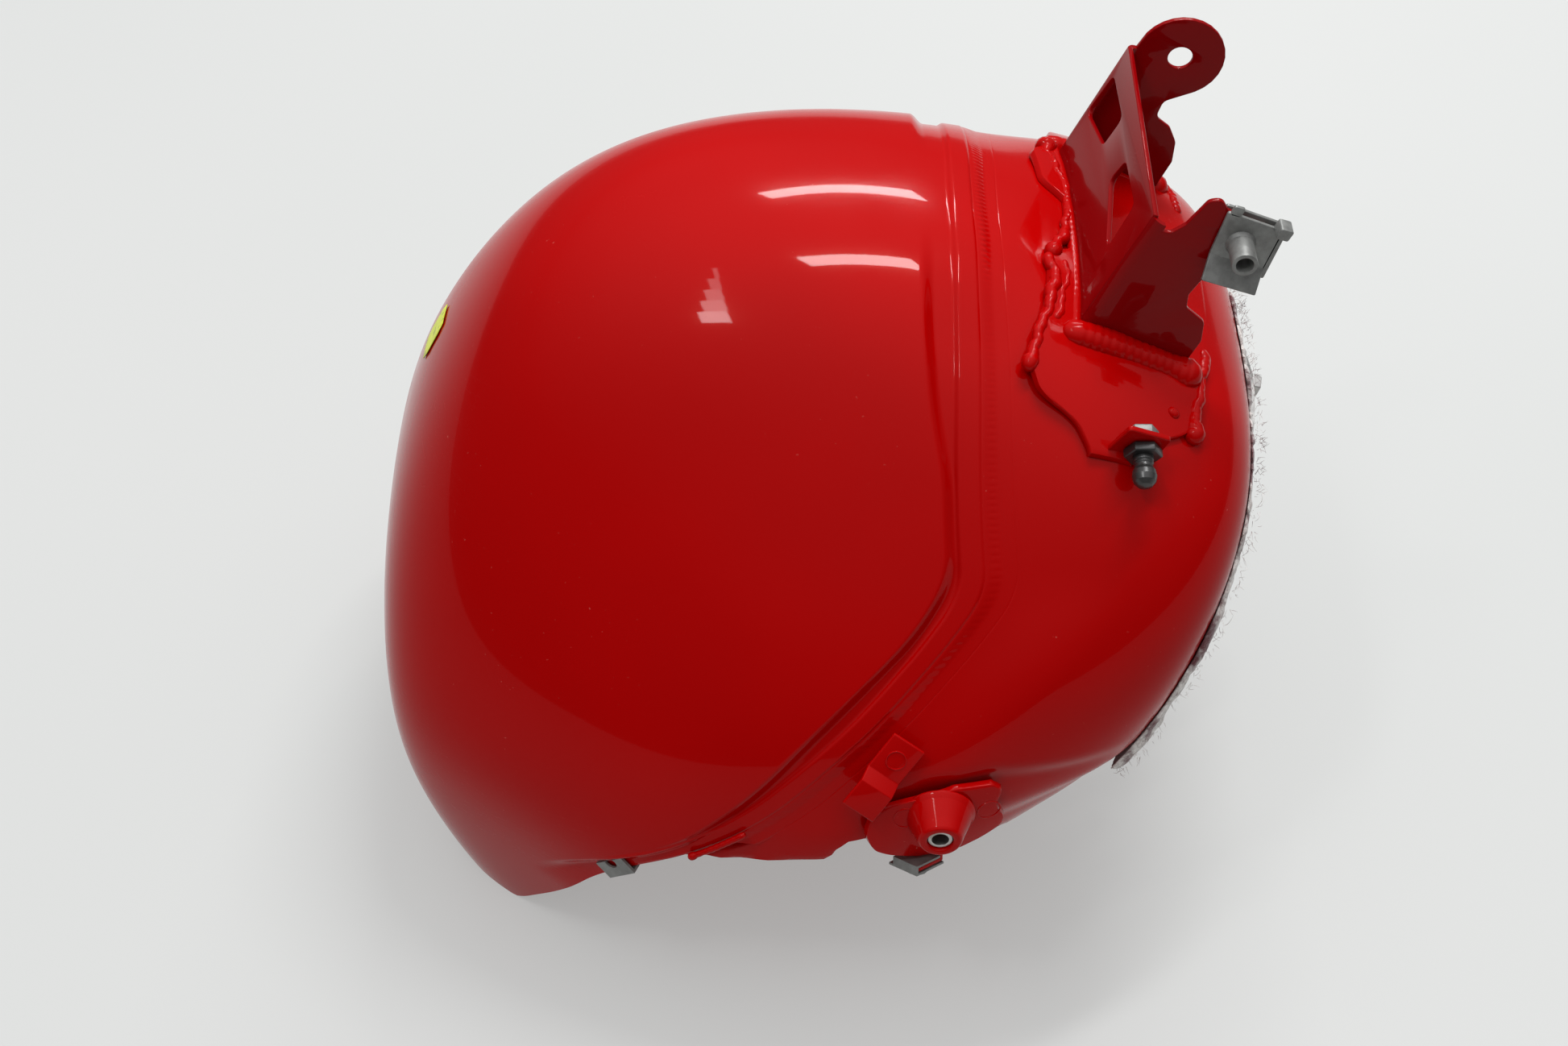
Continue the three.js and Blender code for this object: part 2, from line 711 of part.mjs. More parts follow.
for (let k = 0; k < BOLTS; k += 1) {
  const bolt = join(solidOf(rod(4.6, 8.3, 12.3, 6)), solidOf(rod(2.5, -8, 8.6, 12)));
  add(`pump_bolt_${k + 1}`, geometryFrom(bolt), STEEL, pumpFrame.clone().multiply(boltAt(k)));
}
add('pump_body', rod(19, -78, 4.6, 24), BLACK, pumpFrame);
add('pump_strainer', block(-16, 16, -24, 24, -92, -78.3), BLACK, pumpFrame);
const elbowShape = new THREE.Shape();
elbowShape.absarc(0, 0, 4.2, 0, Math.PI * 2, false);
const elbowBore = new THREE.Path();
elbowBore.absarc(0, 0, 2.6, 0, Math.PI * 2, true);
elbowShape.holes.push(elbowBore);
const elbow = new THREE.ExtrudeGeometry(elbowShape, {
  steps: 9,
  curveSegments: 4,
  bevelEnabled: false,
  extrudePath: new THREE.CatmullRomCurve3([
    vec(10, 12, 11.3), vec(10, 12, 18), vec(12, 12, 23), vec(17, 12, 25), vec(40, 12, 25),
  ]),
});
add('outlet_elbow', elbow, BLACK, pumpFrame);
add('pump_connector', block(-20, -4, -24, -8, 11.3, 24), BLACK, pumpFrame);

const ARM = 64;
add('level_sender', block(19.4, 29, -9, 9, -58, -22), BLACK, pumpFrame);
const arm = join(
  solidOf(rod(1.3, 29.4, 36, 10).rotateY(Math.PI / 2), shift(0, 0, -38)),
  solidOf(rod(1.3, 0, ARM, 10).rotateX(-Math.PI / 2), shift(34.7, 0, -38)),
  solidOf(rod(4, 29.4, 33, 14).rotateY(Math.PI / 2), shift(0, 0, -38)),
);
add('level_arm', geometryFrom(arm), STEEL, pumpFrame);
const floatBody = cut(
  solidOf(rod(9.5, 22, 47, 20).rotateY(Math.PI / 2), shift(0, ARM - 5, -38)),
  solidOf(rod(1.6, -2, ARM + 2, 10).rotateX(-Math.PI / 2), shift(34.7, 0, -38)),
);
add('level_float', geometryFrom(floatBody), BLACK, pumpFrame);

// ---------- slosh baffle ----------
const baffleOutline = [
  [-96, 108], [-84, 108], [-84, 74], [-66, 74], [-66, 108], [66, 108], [66, 74], [84, 74], [84, 108],
  [96, 108], [96, 180], [78, 218], [45, 240], [-45, 240], [-78, 218], [-96, 180],
];
const baffleHoles = [[-55, 150, 19], [55, 150, 19], [0, 150, 24], [-40, 205, 15], [40, 205, 15]];
const crossPlane = new THREE.Matrix4().makeBasis(vec(0, 1, 0), vec(0, 0, 1), vec(1, 0, 0));
add('slosh_baffle', plate(baffleOutline, 1.5, baffleHoles), STEEL, shift(52, 0, 0).multiply(crossPlane));

// ---------- heat pad ----------
const PAD_THICK = 4.6;
const PAD_GAP = 1.4;
function padStart(theta) {
  let phi = smoothRing(PAD_RING, fold(theta));
  while (phi < 172) {
    const u = direction(theta, phi);
    if (recessRadius(u) - bodyRadius(u) > 9) {
      return phi;
    }
    phi += 0.5;
  }
  return phi;
}
const padStarts = thetas.map((t) => padStart(t));
function padRows(lift) {
  const rows = [0, 0.18, 0.37, 0.58, 0.79].map((f) => thetas.map((t, j) => {
    return skinPoint(t, padStarts[j] + (180 - padStarts[j]) * f, lift);
  }));
  rows.push([skinPoint(0, 179.99, lift)]);
  return rows;
}
const padSolid = cut(
  solidOf(sheet(padRows(PAD_THICK + PAD_GAP), padRows(PAD_GAP), true)),
  inPump(rod(PUMP_RING + 4, -40, 40, 40)),
  solidOf(pipe(-1, PIPE_RADIUS + 1)),
  solidOf(pipe(1, PIPE_RADIUS + 1)),
);
add('heat_pad', geometryFrom(padSolid), { color: 0x8a8078, roughness: 0.95, metalness: 0 });

// ---------- rear bracket ----------
const BRACKET_AT = vec(108, 0, 257);
const ACROSS = vec(0.906, 0, -0.423).normalize();
const UP = vec(0.423, 0, 0.906).normalize();
const SHEET = 2;
const HALF = 54;
// Side plates lie in X along the skin, Y up the web; the web lies in X across the tank.
const sidePlane = frameAt(BRACKET_AT, ACROSS, UP, ACROSS.clone().cross(UP));
const webPlane = frameAt(BRACKET_AT, vec(0, 1, 0), UP, vec(0, 1, 0).cross(UP));
const sideZ = ACROSS.clone().cross(UP).y;
const sideAt = (y0, y1) => (sideZ > 0 ? [y0, y1 - y0] : [-y1, y1 - y0]);
function sidePlate(points, y0, y1, holes = []) {
  const [z, depth] = sideAt(y0, y1);
  return solidOf(plate(points, depth, holes), sidePlane.clone().multiply(shift(0, 0, z)));
}
const skinUnderBracket = closedSkin(2.9);
const web = solidOf(
  plate(
    [[-HALF, -20], [HALF, -20], [HALF, 52], [-HALF, 50.5]],
    SHEET,
    [[[47, 40], [18, 41], [19, 27], [49, 20]], [[-6, 39], [-33, 40], [-35, 20], [-4, 28]]],
  ),
  webPlane.clone().multiply(shift(0, 0, -1)),
);
const eye = [20, 54.7];
const EYE_RADIUS = 17;
const farOutline = [[-1, -20], [-1, 50]];
for (let k = 0; k <= 8; k += 1) {
  const a = (170 - k * 26) * rad;
  farOutline.push([eye[0] + EYE_RADIUS * Math.cos(a), eye[1] + EYE_RADIUS * Math.sin(a)]);
}
farOutline.push([24.5, 35], [25.5, 27.5], [33, 25.5], [38.5, 20.5], [42, 12], [42.5, -20]);
const farFlange = sidePlate(farOutline, HALF - SHEET, HALF, [[eye[0], eye[1], 4.7]]);
const nutAt = [30.5, 55];
const nearOutline = [
  [-1, -20], [-1, 50], [2, 46.5], [7, 47.5], [10, 53], [12, 65], [16, 67.5], [20, 64.5], [39.5, 62.5],
  [43, 43], [27.8, 35], [27, 26.5], [29.5, 21], [38.7, 18], [42.3, 10], [42.3, -20],
];
const nearFlange = sidePlate(nearOutline, -HALF, -HALF + SHEET, [[nutAt[0], nutAt[1], 3.8]]);
add('rear_bracket', geometryFrom(cut(join(web, farFlange, nearFlange), skinUnderBracket)), RED);

const clipFace = [[23, 46.5], [19.5, 65], [41.5, 66], [44, 48.5]];
const clipBack = [[24, 42], [19.5, 65], [41.5, 66], [45, 43]];
// Tail of the clip's front leaf, bent away from the flange so that it slides on easily.
const CLIP_FLARE = 35 * rad;
const bendLine = ACROSS.clone().multiplyScalar(0.9955).addScaledVector(UP, 0.0948);
const tailUp = UP.clone().multiplyScalar(0.9955).addScaledVector(ACROSS, -0.0948)
  .multiplyScalar(Math.cos(CLIP_FLARE)).addScaledVector(vec(0, 1, 0), Math.sin(CLIP_FLARE));
const tailAt = BRACKET_AT.clone().addScaledVector(ACROSS, 33.4).addScaledVector(UP, 47.7)
  .add(vec(0, -HALF - 1.1, 0));
const tailFrame = frameAt(tailAt, bendLine, tailUp, bendLine.clone().cross(tailUp));
const nutCentre = BRACKET_AT.clone().addScaledVector(ACROSS, nutAt[0]).addScaledVector(UP, nutAt[1]);
const nutFrame = frameAlong(nutCentre.add(vec(0, -HALF - 1, 0)), vec(0, -1, 0), vec(1, 0, 0));
const nutClip = cut(
  join(
    sidePlate(clipFace, -HALF - 1.8, -HALF - 0.4),
    solidOf(block(-10.4, 10.4, -10, 0.8, -0.7, 0.7), tailFrame),
    sidePlate(clipBack, -HALF + SHEET + 0.4, -HALF + SHEET + 1.8),
    sidePlate([[40.4, 66], [42.6, 66], [46, 45], [43.6, 45]], -HALF - 1.8, -HALF + SHEET + 1.8),
    sidePlate([[20.5, 64], [24.5, 64.5], [24.5, 68.5], [20.5, 68]], -HALF - 1.8, -HALF - 0.4),
    sidePlate([[37.5, 65], [42.3, 65.5], [42.3, 70], [37.5, 69.5]], -HALF - 6.8, -HALF - 0.4),
    solidOf(rod(4.6, 0, 13, 20), nutFrame),
  ),
  solidOf(rod(3.1, -8, 16, 16), nutFrame),
);
add('rear_nut_clip', geometryFrom(nutClip), STEEL);

// ---------- plates that follow the skin ----------
// Point of the skin under a point above it, along a given direction.
function dropToSkin(p, towards) {
  let lo = -60;
  let hi = 60;
  const value = (t) => inside(p.clone().addScaledVector(towards, t));
  for (let k = 0; k < 28; k += 1) {
    const mid = (lo + hi) / 2;
    if (value(mid) > 1) {
      lo = mid;
    } else {
      hi = mid;
    }
  }
  return p.clone().addScaledVector(towards, lo);
}

// Rows of [y, x0, x1] in the frame's plane, laid on the skin and thickened.
function laidPlate(frame, rows, cols, low, high) {
  const inward = new THREE.Vector3().setFromMatrixColumn(frame, 2).negate();
  const grid = (lift) => rows.map(([y, x0, x1]) => {
    const line = [];
    for (let i = 0; i <= cols; i += 1) {
      const p = vec(x0 + ((x1 - x0) * i) / cols, y, 0).applyMatrix4(frame);
      const q = dropToSkin(p, inward);
      line.push(q.addScaledVector(normalAt(q), lift));
    }
    return line;
  });
  return sheet(grid(high), grid(low), false);
}

const DOUBLER_LEFT = [
  [0, -2], [14, -3], [23, -13], [45, -14], [60, -18], [71, -18], [80, -12], [86, 3], [95, 12],
];
// On the right side the plate stops short behind its last weld.
const DOUBLER_LEFT_FAR = [[0, -2], [14, -3], [23, -13], [45, -14], [51, -8], [60, -3], [80, 3], [95, 12]];
const DOUBLER_RIGHT = [[0, 57], [43, 55], [70, 51], [79, 48], [84, 40], [88, 30], [95, 27]];
const doublerFrame = frameAt(BRACKET_AT, ACROSS, vec(0, 1, 0), ACROSS.clone().cross(vec(0, 1, 0)));
const doublerRows = [];
for (const y of [13, 24, 35, 48, 62, 72, 79, 83, 87, 91, 95]) {
  doublerRows.push([y, ring(DOUBLER_LEFT_FAR, y), ring(DOUBLER_RIGHT, y)]);
  doublerRows.unshift([-y, ring(DOUBLER_LEFT, y), ring(DOUBLER_RIGHT, y)]);
}
doublerRows.splice(doublerRows.length / 2, 0, [0, ring(DOUBLER_LEFT, 0), ring(DOUBLER_RIGHT, 0)]);
// Stud tab: folded out of the plate, leaning so that its stud points outward and a little down.
const TAB_TILT = 20 * rad;
const STUD_AT = vec(126.8, -94.6, 233.2);
const STUD_AXIS = vec(0, -Math.cos(TAB_TILT), -Math.sin(TAB_TILT));
const tabUp = vec(0, -Math.sin(TAB_TILT), Math.cos(TAB_TILT));
const tabPlane = frameAt(STUD_AT, vec(1, 0, 0), tabUp, STUD_AXIS);
const tabOutline = [[-14.8, -8], [-6, 13.9], [9.5, 5.5], [5.8, -8], [2, -19], [-13, -19]];
const studFrame = frameAlong(STUD_AT, STUD_AXIS, vec(1, 0, 0));
const studHole = solidOf(rod(3.4, -10, 6, 12), studFrame);
const studTab = solidOf(plate(tabOutline, 2), tabPlane.clone().multiply(shift(0, 0, -2)));
const studTabSolid = cut(studTab, studHole, closedSkin(0.6));
const mirrorSolid = (solid) => solidOf(flipped(geometryFrom(solid).applyMatrix4(MIRROR)));
const nutPocket = solidOf(rod(7.6, -9, 4.2, 12), studFrame);
const doubler = join(
  cut(solidOf(laidPlate(doublerFrame, doublerRows, 6, 0.7, 2.4)), nutPocket, mirrorSolid(nutPocket)),
  studTabSolid,
  mirrorSolid(studTabSolid),
);
add('rear_base_plate', geometryFrom(doubler), RED);

const ball = turned([
  [0, 3.6], [3.7, 3.6], [3.7, 5.4], [3.3, 5.8], [3.7, 6.3], [3.3, 7], [3.5, 8.2], [4.2, 9.4], [4.5, 11.4],
  [4, 13.6], [2.6, 15.2], [0, 15.9],
], 12);
const stud = join(
  solidOf(rod(3, -6.4, 0.6, 12), studFrame),
  solidOf(rod(7, 0.3, 3.8, 6), studFrame),
  solidOf(ball, studFrame),
);
add('ball_stud', geometryFrom(stud), BLACK);
const studNut = cut(solidOf(rod(6.2, -7, -2.3, 6), studFrame), solidOf(rod(3.5, -9, 2, 12), studFrame));
add('stud_nut', geometryFrom(studNut), STEEL);

// ---------- flank hardware ----------
const hookPoint = dropToSkin(vec(41, -175, 144), vec(0, 1, 0));
const hookFrame = frameAlong(hookPoint, normalAt(hookPoint), vec(-17, 0, -25));
const hookOutline = [
  [-6.8, 1.4], [9.4, 1.4], [13.8, 5.4], [25, 5.4], [25, 7], [13.2, 7], [8.8, 3], [-6.8, 3],
];
const hook = plate(hookOutline, 13.6).rotateX(Math.PI / 2).translate(0, 6.8, 0);
bothSides('hook_bracket', geometryFrom(solidOf(hook, hookFrame)), RED);

const BOSS = vec(56.5, -166, 117.5);
const bossRows = [
  [95, 52, 63], [98, 42, 70], [101, 34, 75], [105, 31, 80], [111, 29, 81], [117, 30, 78], [121, 33, 78],
  [125, 38, 79.5], [128, 56, 78.5], [130, 63, 74],
];
// Screw tab under the boss: a square plate standing on one corner, sloping out and up.
const TAB_AT = vec(49.5, -165, 91);
const TAB_SLOPE = 24;
const TAB_HALF = 6.8;
const tabFrame = new THREE.Matrix4()
  .makeTranslation(TAB_AT.x, TAB_AT.y, TAB_AT.z)
  .multiply(new THREE.Matrix4().makeRotationX(-TAB_SLOPE * rad))
  .multiply(new THREE.Matrix4().makeRotationZ(Math.PI / 4));
const inTab = (g) => solidOf(g, tabFrame);
const bossPlaneFrame = frameAt(vec(0, -166, 0), vec(1, 0, 0), vec(0, 0, 1), vec(0, -1, 0));
const bossFrame = frameAlong(BOSS, vec(0, -1, 0), vec(1, 0, 0));
const BOSS_LENGTH = 13;
const bossCone = turned([
  [4.8, -0.6], [13, -0.6], [12.4, 2], [9.2, 8.6], [7.8, BOSS_LENGTH - 1], [7.2, BOSS_LENGTH],
  [4.8, BOSS_LENGTH], [4.8, -0.6],
], 16);
const bossPlate = cut(
  join(
    solidOf(laidPlate(bossPlaneFrame, bossRows, 5, 0.8, 2.6)),
    solidOf(bossCone, bossFrame),
    inTab(block(-TAB_HALF, TAB_HALF, -TAB_HALF, TAB_HALF, -0.8, 0.8)),
    inTab(block(-TAB_HALF, TAB_HALF, TAB_HALF - 1.6, TAB_HALF, -0.8, 15)),
    inTab(block(TAB_HALF - 1.6, TAB_HALF, -TAB_HALF, TAB_HALF, -0.8, 15)),
  ),
  closedSkin(0.5),
  solidOf(rod(4.8, -10, 20, 16), bossFrame),
  inTab(rod(3.2, -6, 6, 12)),
);
bothSides('boss_plate', geometryFrom(bossPlate), RED);
bothSides('boss_insert', geometryFrom(solidOf(rod(4.3, -0.4, BOSS_LENGTH + 0.4, 16, 3.1), bossFrame)), STEEL);
const CLIP_HALF = 4.8;
const CLIP_EDGE = TAB_HALF + 1.2;
const tabClip = cut(
  join(
    inTab(block(-CLIP_EDGE, CLIP_HALF, -TAB_HALF - 0.4, CLIP_HALF, 1.1, 2)),
    inTab(block(-CLIP_EDGE, TAB_HALF, -TAB_HALF - 0.4, TAB_HALF, -2, -1.1)),
    inTab(block(-CLIP_EDGE, -TAB_HALF - 0.3, -TAB_HALF - 0.4, CLIP_HALF, -2, 2)),
    inTab(rod(3.9, -5, -1.6, 16)),
  ),
  inTab(rod(2.6, -10, 6, 12)),
);
bothSides('tab_clip', geometryFrom(tabClip), STEEL);
const rimClip = cut(
  join(
    solidOf(block(-1.5, 7, -7.5, 7.5, 1.2, 2.3), clipFrame),
    solidOf(block(-1.5, 7, -7.5, 7.5, -4.4, -3.3), clipFrame),
    solidOf(block(5.9, 7, -7.5, 7.5, -4.4, 2.3), clipFrame),
    solidOf(rod(3.9, -8, -3.9, 12), clipFrame),
  ),
  solidOf(rod(2.6, -12, 6, 12), clipFrame),
);
bothSides('rim_clip', geometryFrom(rimClip), STEEL);

// ---------- front bracket ----------
const floorAt = (x) => 8 + 0.283 * (x + 145);
const FOOT = [40, 90];
const BUSH_AT = [65, 22];
const gusset = [[42, 2], [88, 2], [88, floorAt(88) - 2], [42, floorAt(42) - 2]];
const flangeTop = [
  [FOOT[0], floorAt(FOOT[0]) - 3], [FOOT[1], floorAt(FOOT[1]) - 3],
  [FOOT[1], floorAt(FOOT[1]) - 1], [FOOT[0], floorAt(FOOT[0]) - 1],
];
const uprightPlane = new THREE.Matrix4().makeBasis(vec(1, 0, 0), vec(0, 0, 1), vec(0, -1, 0));
function across(points, y0, y1) {
  return solidOf(plate(points, y1 - y0), uprightPlane.clone().multiply(shift(0, 0, -y1)));
}
const frontBracket = cut(
  join(
    solidOf(block(FOOT[0], FOOT[1], -45, 45, 0, 3)),
    across(gusset, 36, 39),
    across(gusset, -39, -36),
    across(flangeTop, -45, 45),
    across([[85.5, 2], [88, 2], [88, floorAt(88) - 2], [85.5, floorAt(85.5) - 2]], -37, 37),
  ),
  solidOf(rod(9.3, -2, 5, 24), shift(BUSH_AT[0], -BUSH_AT[1], 0)),
  solidOf(rod(9.3, -2, 5, 24), shift(BUSH_AT[0], BUSH_AT[1], 0)),
);
add('front_bracket', geometryFrom(frontBracket), RED);
const bush = turned([[4.6, 0.4], [9, 0.4], [9, 3.4], [13, 3.4], [13, 9.5], [4.6, 9.5], [4.6, 0.4]], 20);
bothSides('front_bush', geometryFrom(solidOf(bush, shift(BUSH_AT[0], -BUSH_AT[1], 0))), BLACK);
const sleeve = rod(4.3, 0.4, 11, 16, 3.3);
bothSides('front_sleeve', geometryFrom(solidOf(sleeve, shift(BUSH_AT[0], -BUSH_AT[1], 0))), STEEL);

// ---------- inspection sticker ----------
const stickerPoint = skinPoint(-14, 21.5, 0);
const stickerFrame = frameAlong(stickerPoint, normalAt(stickerPoint), vec(0, 1, 0));
const sticker = laidPlate(stickerFrame, [[-10, -6, 6], [-5, -8, 8], [5, -8, 8], [10, -6, 6]], 3, 0.35, 0.7);
add('inspection_sticker', sticker, { color: 0xc9cf1d, roughness: 0.6, metalness: 0 });

export default group;
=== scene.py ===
import json
import math

import bmesh
import bpy
import numpy as np
from mathutils import Matrix, Vector
from mathutils.geometry import tessellate_polygon


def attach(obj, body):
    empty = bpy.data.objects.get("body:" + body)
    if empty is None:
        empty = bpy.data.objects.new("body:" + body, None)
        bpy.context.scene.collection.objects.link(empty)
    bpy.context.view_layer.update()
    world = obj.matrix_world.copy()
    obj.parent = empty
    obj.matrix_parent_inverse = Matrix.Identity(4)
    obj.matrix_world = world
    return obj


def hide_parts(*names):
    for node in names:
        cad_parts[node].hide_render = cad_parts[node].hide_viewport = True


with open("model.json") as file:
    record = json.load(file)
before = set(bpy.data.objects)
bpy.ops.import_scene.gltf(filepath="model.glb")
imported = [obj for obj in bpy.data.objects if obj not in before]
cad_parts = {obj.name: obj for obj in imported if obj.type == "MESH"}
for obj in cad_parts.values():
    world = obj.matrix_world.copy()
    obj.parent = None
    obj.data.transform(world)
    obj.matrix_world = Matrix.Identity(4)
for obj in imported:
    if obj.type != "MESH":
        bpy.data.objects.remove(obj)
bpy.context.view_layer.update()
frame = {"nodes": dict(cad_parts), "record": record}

# Shapes are worked out in millimetres in the CAD's own modelling frame, then moved by ORIGIN.
MM = 0.001
ORIGIN = np.array([-15.33, 0.0, 0.0])
CENTRE = np.array([10.0, 0.0, 140.0])
SOFT, EDGE, RECESS_EDGE = 8, 20, 60
SCALLOP, SKIN, STEP, RELIEF, GAP, DENT = 0.08, 1.5, 2.9, 3.5, 0.3, 3.0
FACETS = [
    (180, 0, 182), (150, 0, 163), (120, 0, 173), (92, 0, 155), (62, 0, 152), (20, 0, 255),
    (-21, 0, 142), (-60, 0, 135), (-90, 0, 208), (-125, 0, 281), (-155, 0, 203), (0, 90, 185),
    (180, 50, 282), (135, 50, 146), (90, 50, 139), (45, 50, 198), (0, 50, 243), (-45, 50, 182),
    (-90, 50, 249), (-135, 50, 321),
]
SEAM_RING = [
    (0, 114), (39, 114), (60, 114), (67, 114), (74, 109), (85, 99), (94, 89.5), (99, 84.5), (102, 80),
    (104, 78), (109, 70), (117, 64), (125, 61), (136, 57.5), (141, 56.5), (150, 52), (165, 47), (180, 45),
]
CREASE_RING = [
    (0, 106), (27, 106), (39, 107), (51, 109), (65, 109), (73, 104), (79, 98), (88, 89), (95, 83),
    (100, 78), (105, 73), (109, 67), (117, 60), (125, 56), (136, 52), (150, 46), (180, 40),
]
PAD_RING = [
    (0, 158), (40, 156), (60, 150), (71, 147), (86, 140), (101, 133), (106, 130), (120, 134),
    (140, 147), (180, 151),
]
DENT_LINE = [(90, 96), (97, 95), (104, 92), (113, 91), (126, 94), (140, 99)]


# ---------- the tank's surface ----------
def facet_planes():
    rows = []
    for angle, tilt, far in FACETS:
        a = math.radians(angle)
        for t in {math.radians(tilt), -math.radians(tilt)}:
            rows.append((math.cos(a) * math.cos(t), math.sin(t), math.sin(a) * math.cos(t), far))
    return np.array(sorted(rows))


def front_planes():
    n = np.array([-0.53, 0.82, -0.22])
    n /= np.linalg.norm(n)
    return np.array([(n[0], n[1], n[2], 187.2), (n[0], -n[1], n[2], 187.2)])


FACET_PLANES = facet_planes()
FRONT_PLANES = front_planes()
RECESS_PLANES = np.array([(0.272, 0, -0.962, 84.8), (0, 0.469, -0.883, 119.8), (0, -0.469, -0.883, 119.8)])


def reach(u, planes, power):
    return (np.maximum(0, (u @ planes[:, :3].T) / planes[:, 3]) ** power).sum(-1)


def body_radius(u):
    soft = reach(u, FACET_PLANES, SOFT) ** (1 / SOFT)
    return 1 / (soft ** EDGE + reach(u, FRONT_PLANES, EDGE)) ** (1 / EDGE)


def smooth(a, b, x):
    t = np.clip((x - a) / (b - a), 0, 1)
    return t * t * (3 - 2 * t)


def fold(theta):
    return np.abs((theta + 540) % 360 - 180)


def ring(table, x):
    return np.interp(x, [row[0] for row in table], [row[1] for row in table])


def smooth_ring(table, x):
    return sum(ring(table, np.abs(np.minimum(180, x + 0.8 * k))) for k in range(-4, 5)) / 9


def recess_radius(u):
    total = np.maximum(reach(u, RECESS_PLANES, RECESS_EDGE), 1e-240)
    phi = np.degrees(np.arccos(np.clip(-u[..., 0], -1, 1)))
    theta = np.abs(np.degrees(np.arctan2(-u[..., 1], u[..., 2])))
    side = 1 - smooth(112, 128, theta)
    scallop = 1 - SCALLOP * side * smooth(91, 95, phi) * (1 - smooth(104, 111, phi))
    return np.minimum(scallop / total ** (1 / RECESS_EDGE), 1e4)


def unit(v):
    return v / np.linalg.norm(v, axis=-1, keepdims=True)


def inside(p):
    q = p - CENTRE
    far = np.linalg.norm(q, axis=-1)
    return far / body_radius(q / far[..., None])


def normal_at(p):
    e = 0.4
    steps = np.eye(3) * e
    return unit(np.stack([inside(p + s) - inside(p - s) for s in steps], -1))


def direction(theta, phi):
    t, p = np.radians(theta), np.radians(phi)
    s = np.sin(p)
    return np.stack([-np.cos(p), -s * np.sin(t), s * np.cos(t)], -1)


def skin_point(theta, phi, lift=0.0):
    theta, phi, lift = np.broadcast_arrays(np.asarray(theta, float), phi, lift)
    u = direction(theta, phi)
    p = CENTRE + u * body_radius(u)[..., None]
    return p + normal_at(p) * lift[..., None]


def rim_angle(theta):
    t = fold(theta)
    edge = smooth_ring(SEAM_RING, t)
    lo, hi = np.full_like(t, 20.0), np.full_like(t, 75.0)
    for _ in range(26):
        mid = (lo + hi) / 2
        above = skin_point(theta, mid)[..., 2] > 0
        lo, hi = np.where(above, mid, lo), np.where(above, hi, mid)
    return np.where(t < 118, edge, np.minimum(edge, lo))


def crease_angle(theta, rim):
    return np.minimum(smooth_ring(CREASE_RING, fold(theta)), rim - 3)


def shell_lift(theta, phi, rim):
    t = fold(theta)
    crease = crease_angle(theta, rim)
    fade = smooth(8, 30, t) * (1 - smooth(112, 126, t))
    return -RELIEF * fade * smooth(crease - 0.6, crease + 1.6, phi)


def lip_lift(theta, phi, rim):
    """The raised hem along the shell's edge, rounded off on both sides."""
    left = rim - phi
    fade = 1 - smooth(106, 118, fold(theta))
    return fade * (1.3 * smooth(3.9, 3.0, left) - 0.5 * smooth(0.5, 0.0, left))


# ---------- meshes ----------
def quads(rows, cols, wrap):
    i, j = np.meshgrid(np.arange(rows - 1), np.arange(cols if wrap else cols - 1), indexing="ij")
    n = (j + 1) % cols
    return np.stack([i * cols + j, i * cols + n, (i + 1) * cols + n, (i + 1) * cols + j], -1).reshape(-1, 4)


def sheet(outer, inner, wrap=False):
    """Closed sheet between two grids of points, as (points, faces). Rows may shrink to one point."""
    rows, cols = outer.shape[:2]
    n = rows * cols
    face = quads(rows, cols, wrap)
    faces = [face, face[:, ::-1] + n]
    last = (rows - 1) * cols
    j = np.arange(cols if wrap else cols - 1)
    k = (j + 1) % cols
    faces.append(np.stack([k, j, j + n, k + n], -1))
    faces.append(np.stack([j + last, k + last, k + last + n, j + last + n], -1))
    if not wrap:
        i = np.arange(rows - 1) * cols
        faces.append(np.stack([i, i + cols, i + cols + n, i + n], -1))
        i = i + cols - 1
        faces.append(np.stack([i + cols, i, i + n, i + cols + n], -1))
    points = np.concatenate([outer.reshape(-1, 3), inner.reshape(-1, 3)])
    return points, [list(map(int, f)) for f in np.concatenate(faces)]


def moved(part, matrix):
    points, faces = part
    m = np.array(matrix)
    return points @ m[:3, :3].T + m[:3, 3], faces


def mirrored(part):
    return part[0] * np.array([1, -1, 1]), [f[::-1] for f in part[1]]


def build(name, parts, sharp=40.0, weld=True):
    """One object from closed parts given in millimetres."""
    points, faces, start = [], [], 0
    for p, f in parts:
        points.append((np.asarray(p) + ORIGIN) * MM)
        faces += [[int(i) + start for i in face] for face in f]
        start += len(p)
    mesh = bpy.data.meshes.new(name)
    mesh.from_pydata(np.concatenate(points).tolist(), [], faces)
    bm = bmesh.new()
    bm.from_mesh(mesh)
    if weld:
        bmesh.ops.remove_doubles(bm, verts=bm.verts, dist=1e-6)
    bmesh.ops.recalc_face_normals(bm, faces=bm.faces)
    bm.to_mesh(mesh)
    bm.free()
    soften(mesh, sharp)
    obj = bpy.data.objects.new(name, mesh)
    bpy.context.scene.collection.objects.link(obj)
    return obj


def soften(mesh, sharp):
    mesh.shade_smooth()
    mesh.set_sharp_from_angle(angle=math.radians(sharp))


def carve(target, cutters, operation="DIFFERENCE", sharp=40.0):
    for cutter in cutters:
        m = target.modifiers.new("carve", "BOOLEAN")
        m.operation, m.object, m.solver = operation, cutter, "MANIFOLD"
    graph = bpy.context.evaluated_depsgraph_get()
    mesh = bpy.data.meshes.new_from_object(target.evaluated_get(graph))
    target.modifiers.clear()
    target.data = mesh
    soften(mesh, sharp)
    return target


def drop(objects):
    for o in objects:
        bpy.data.objects.remove(o)


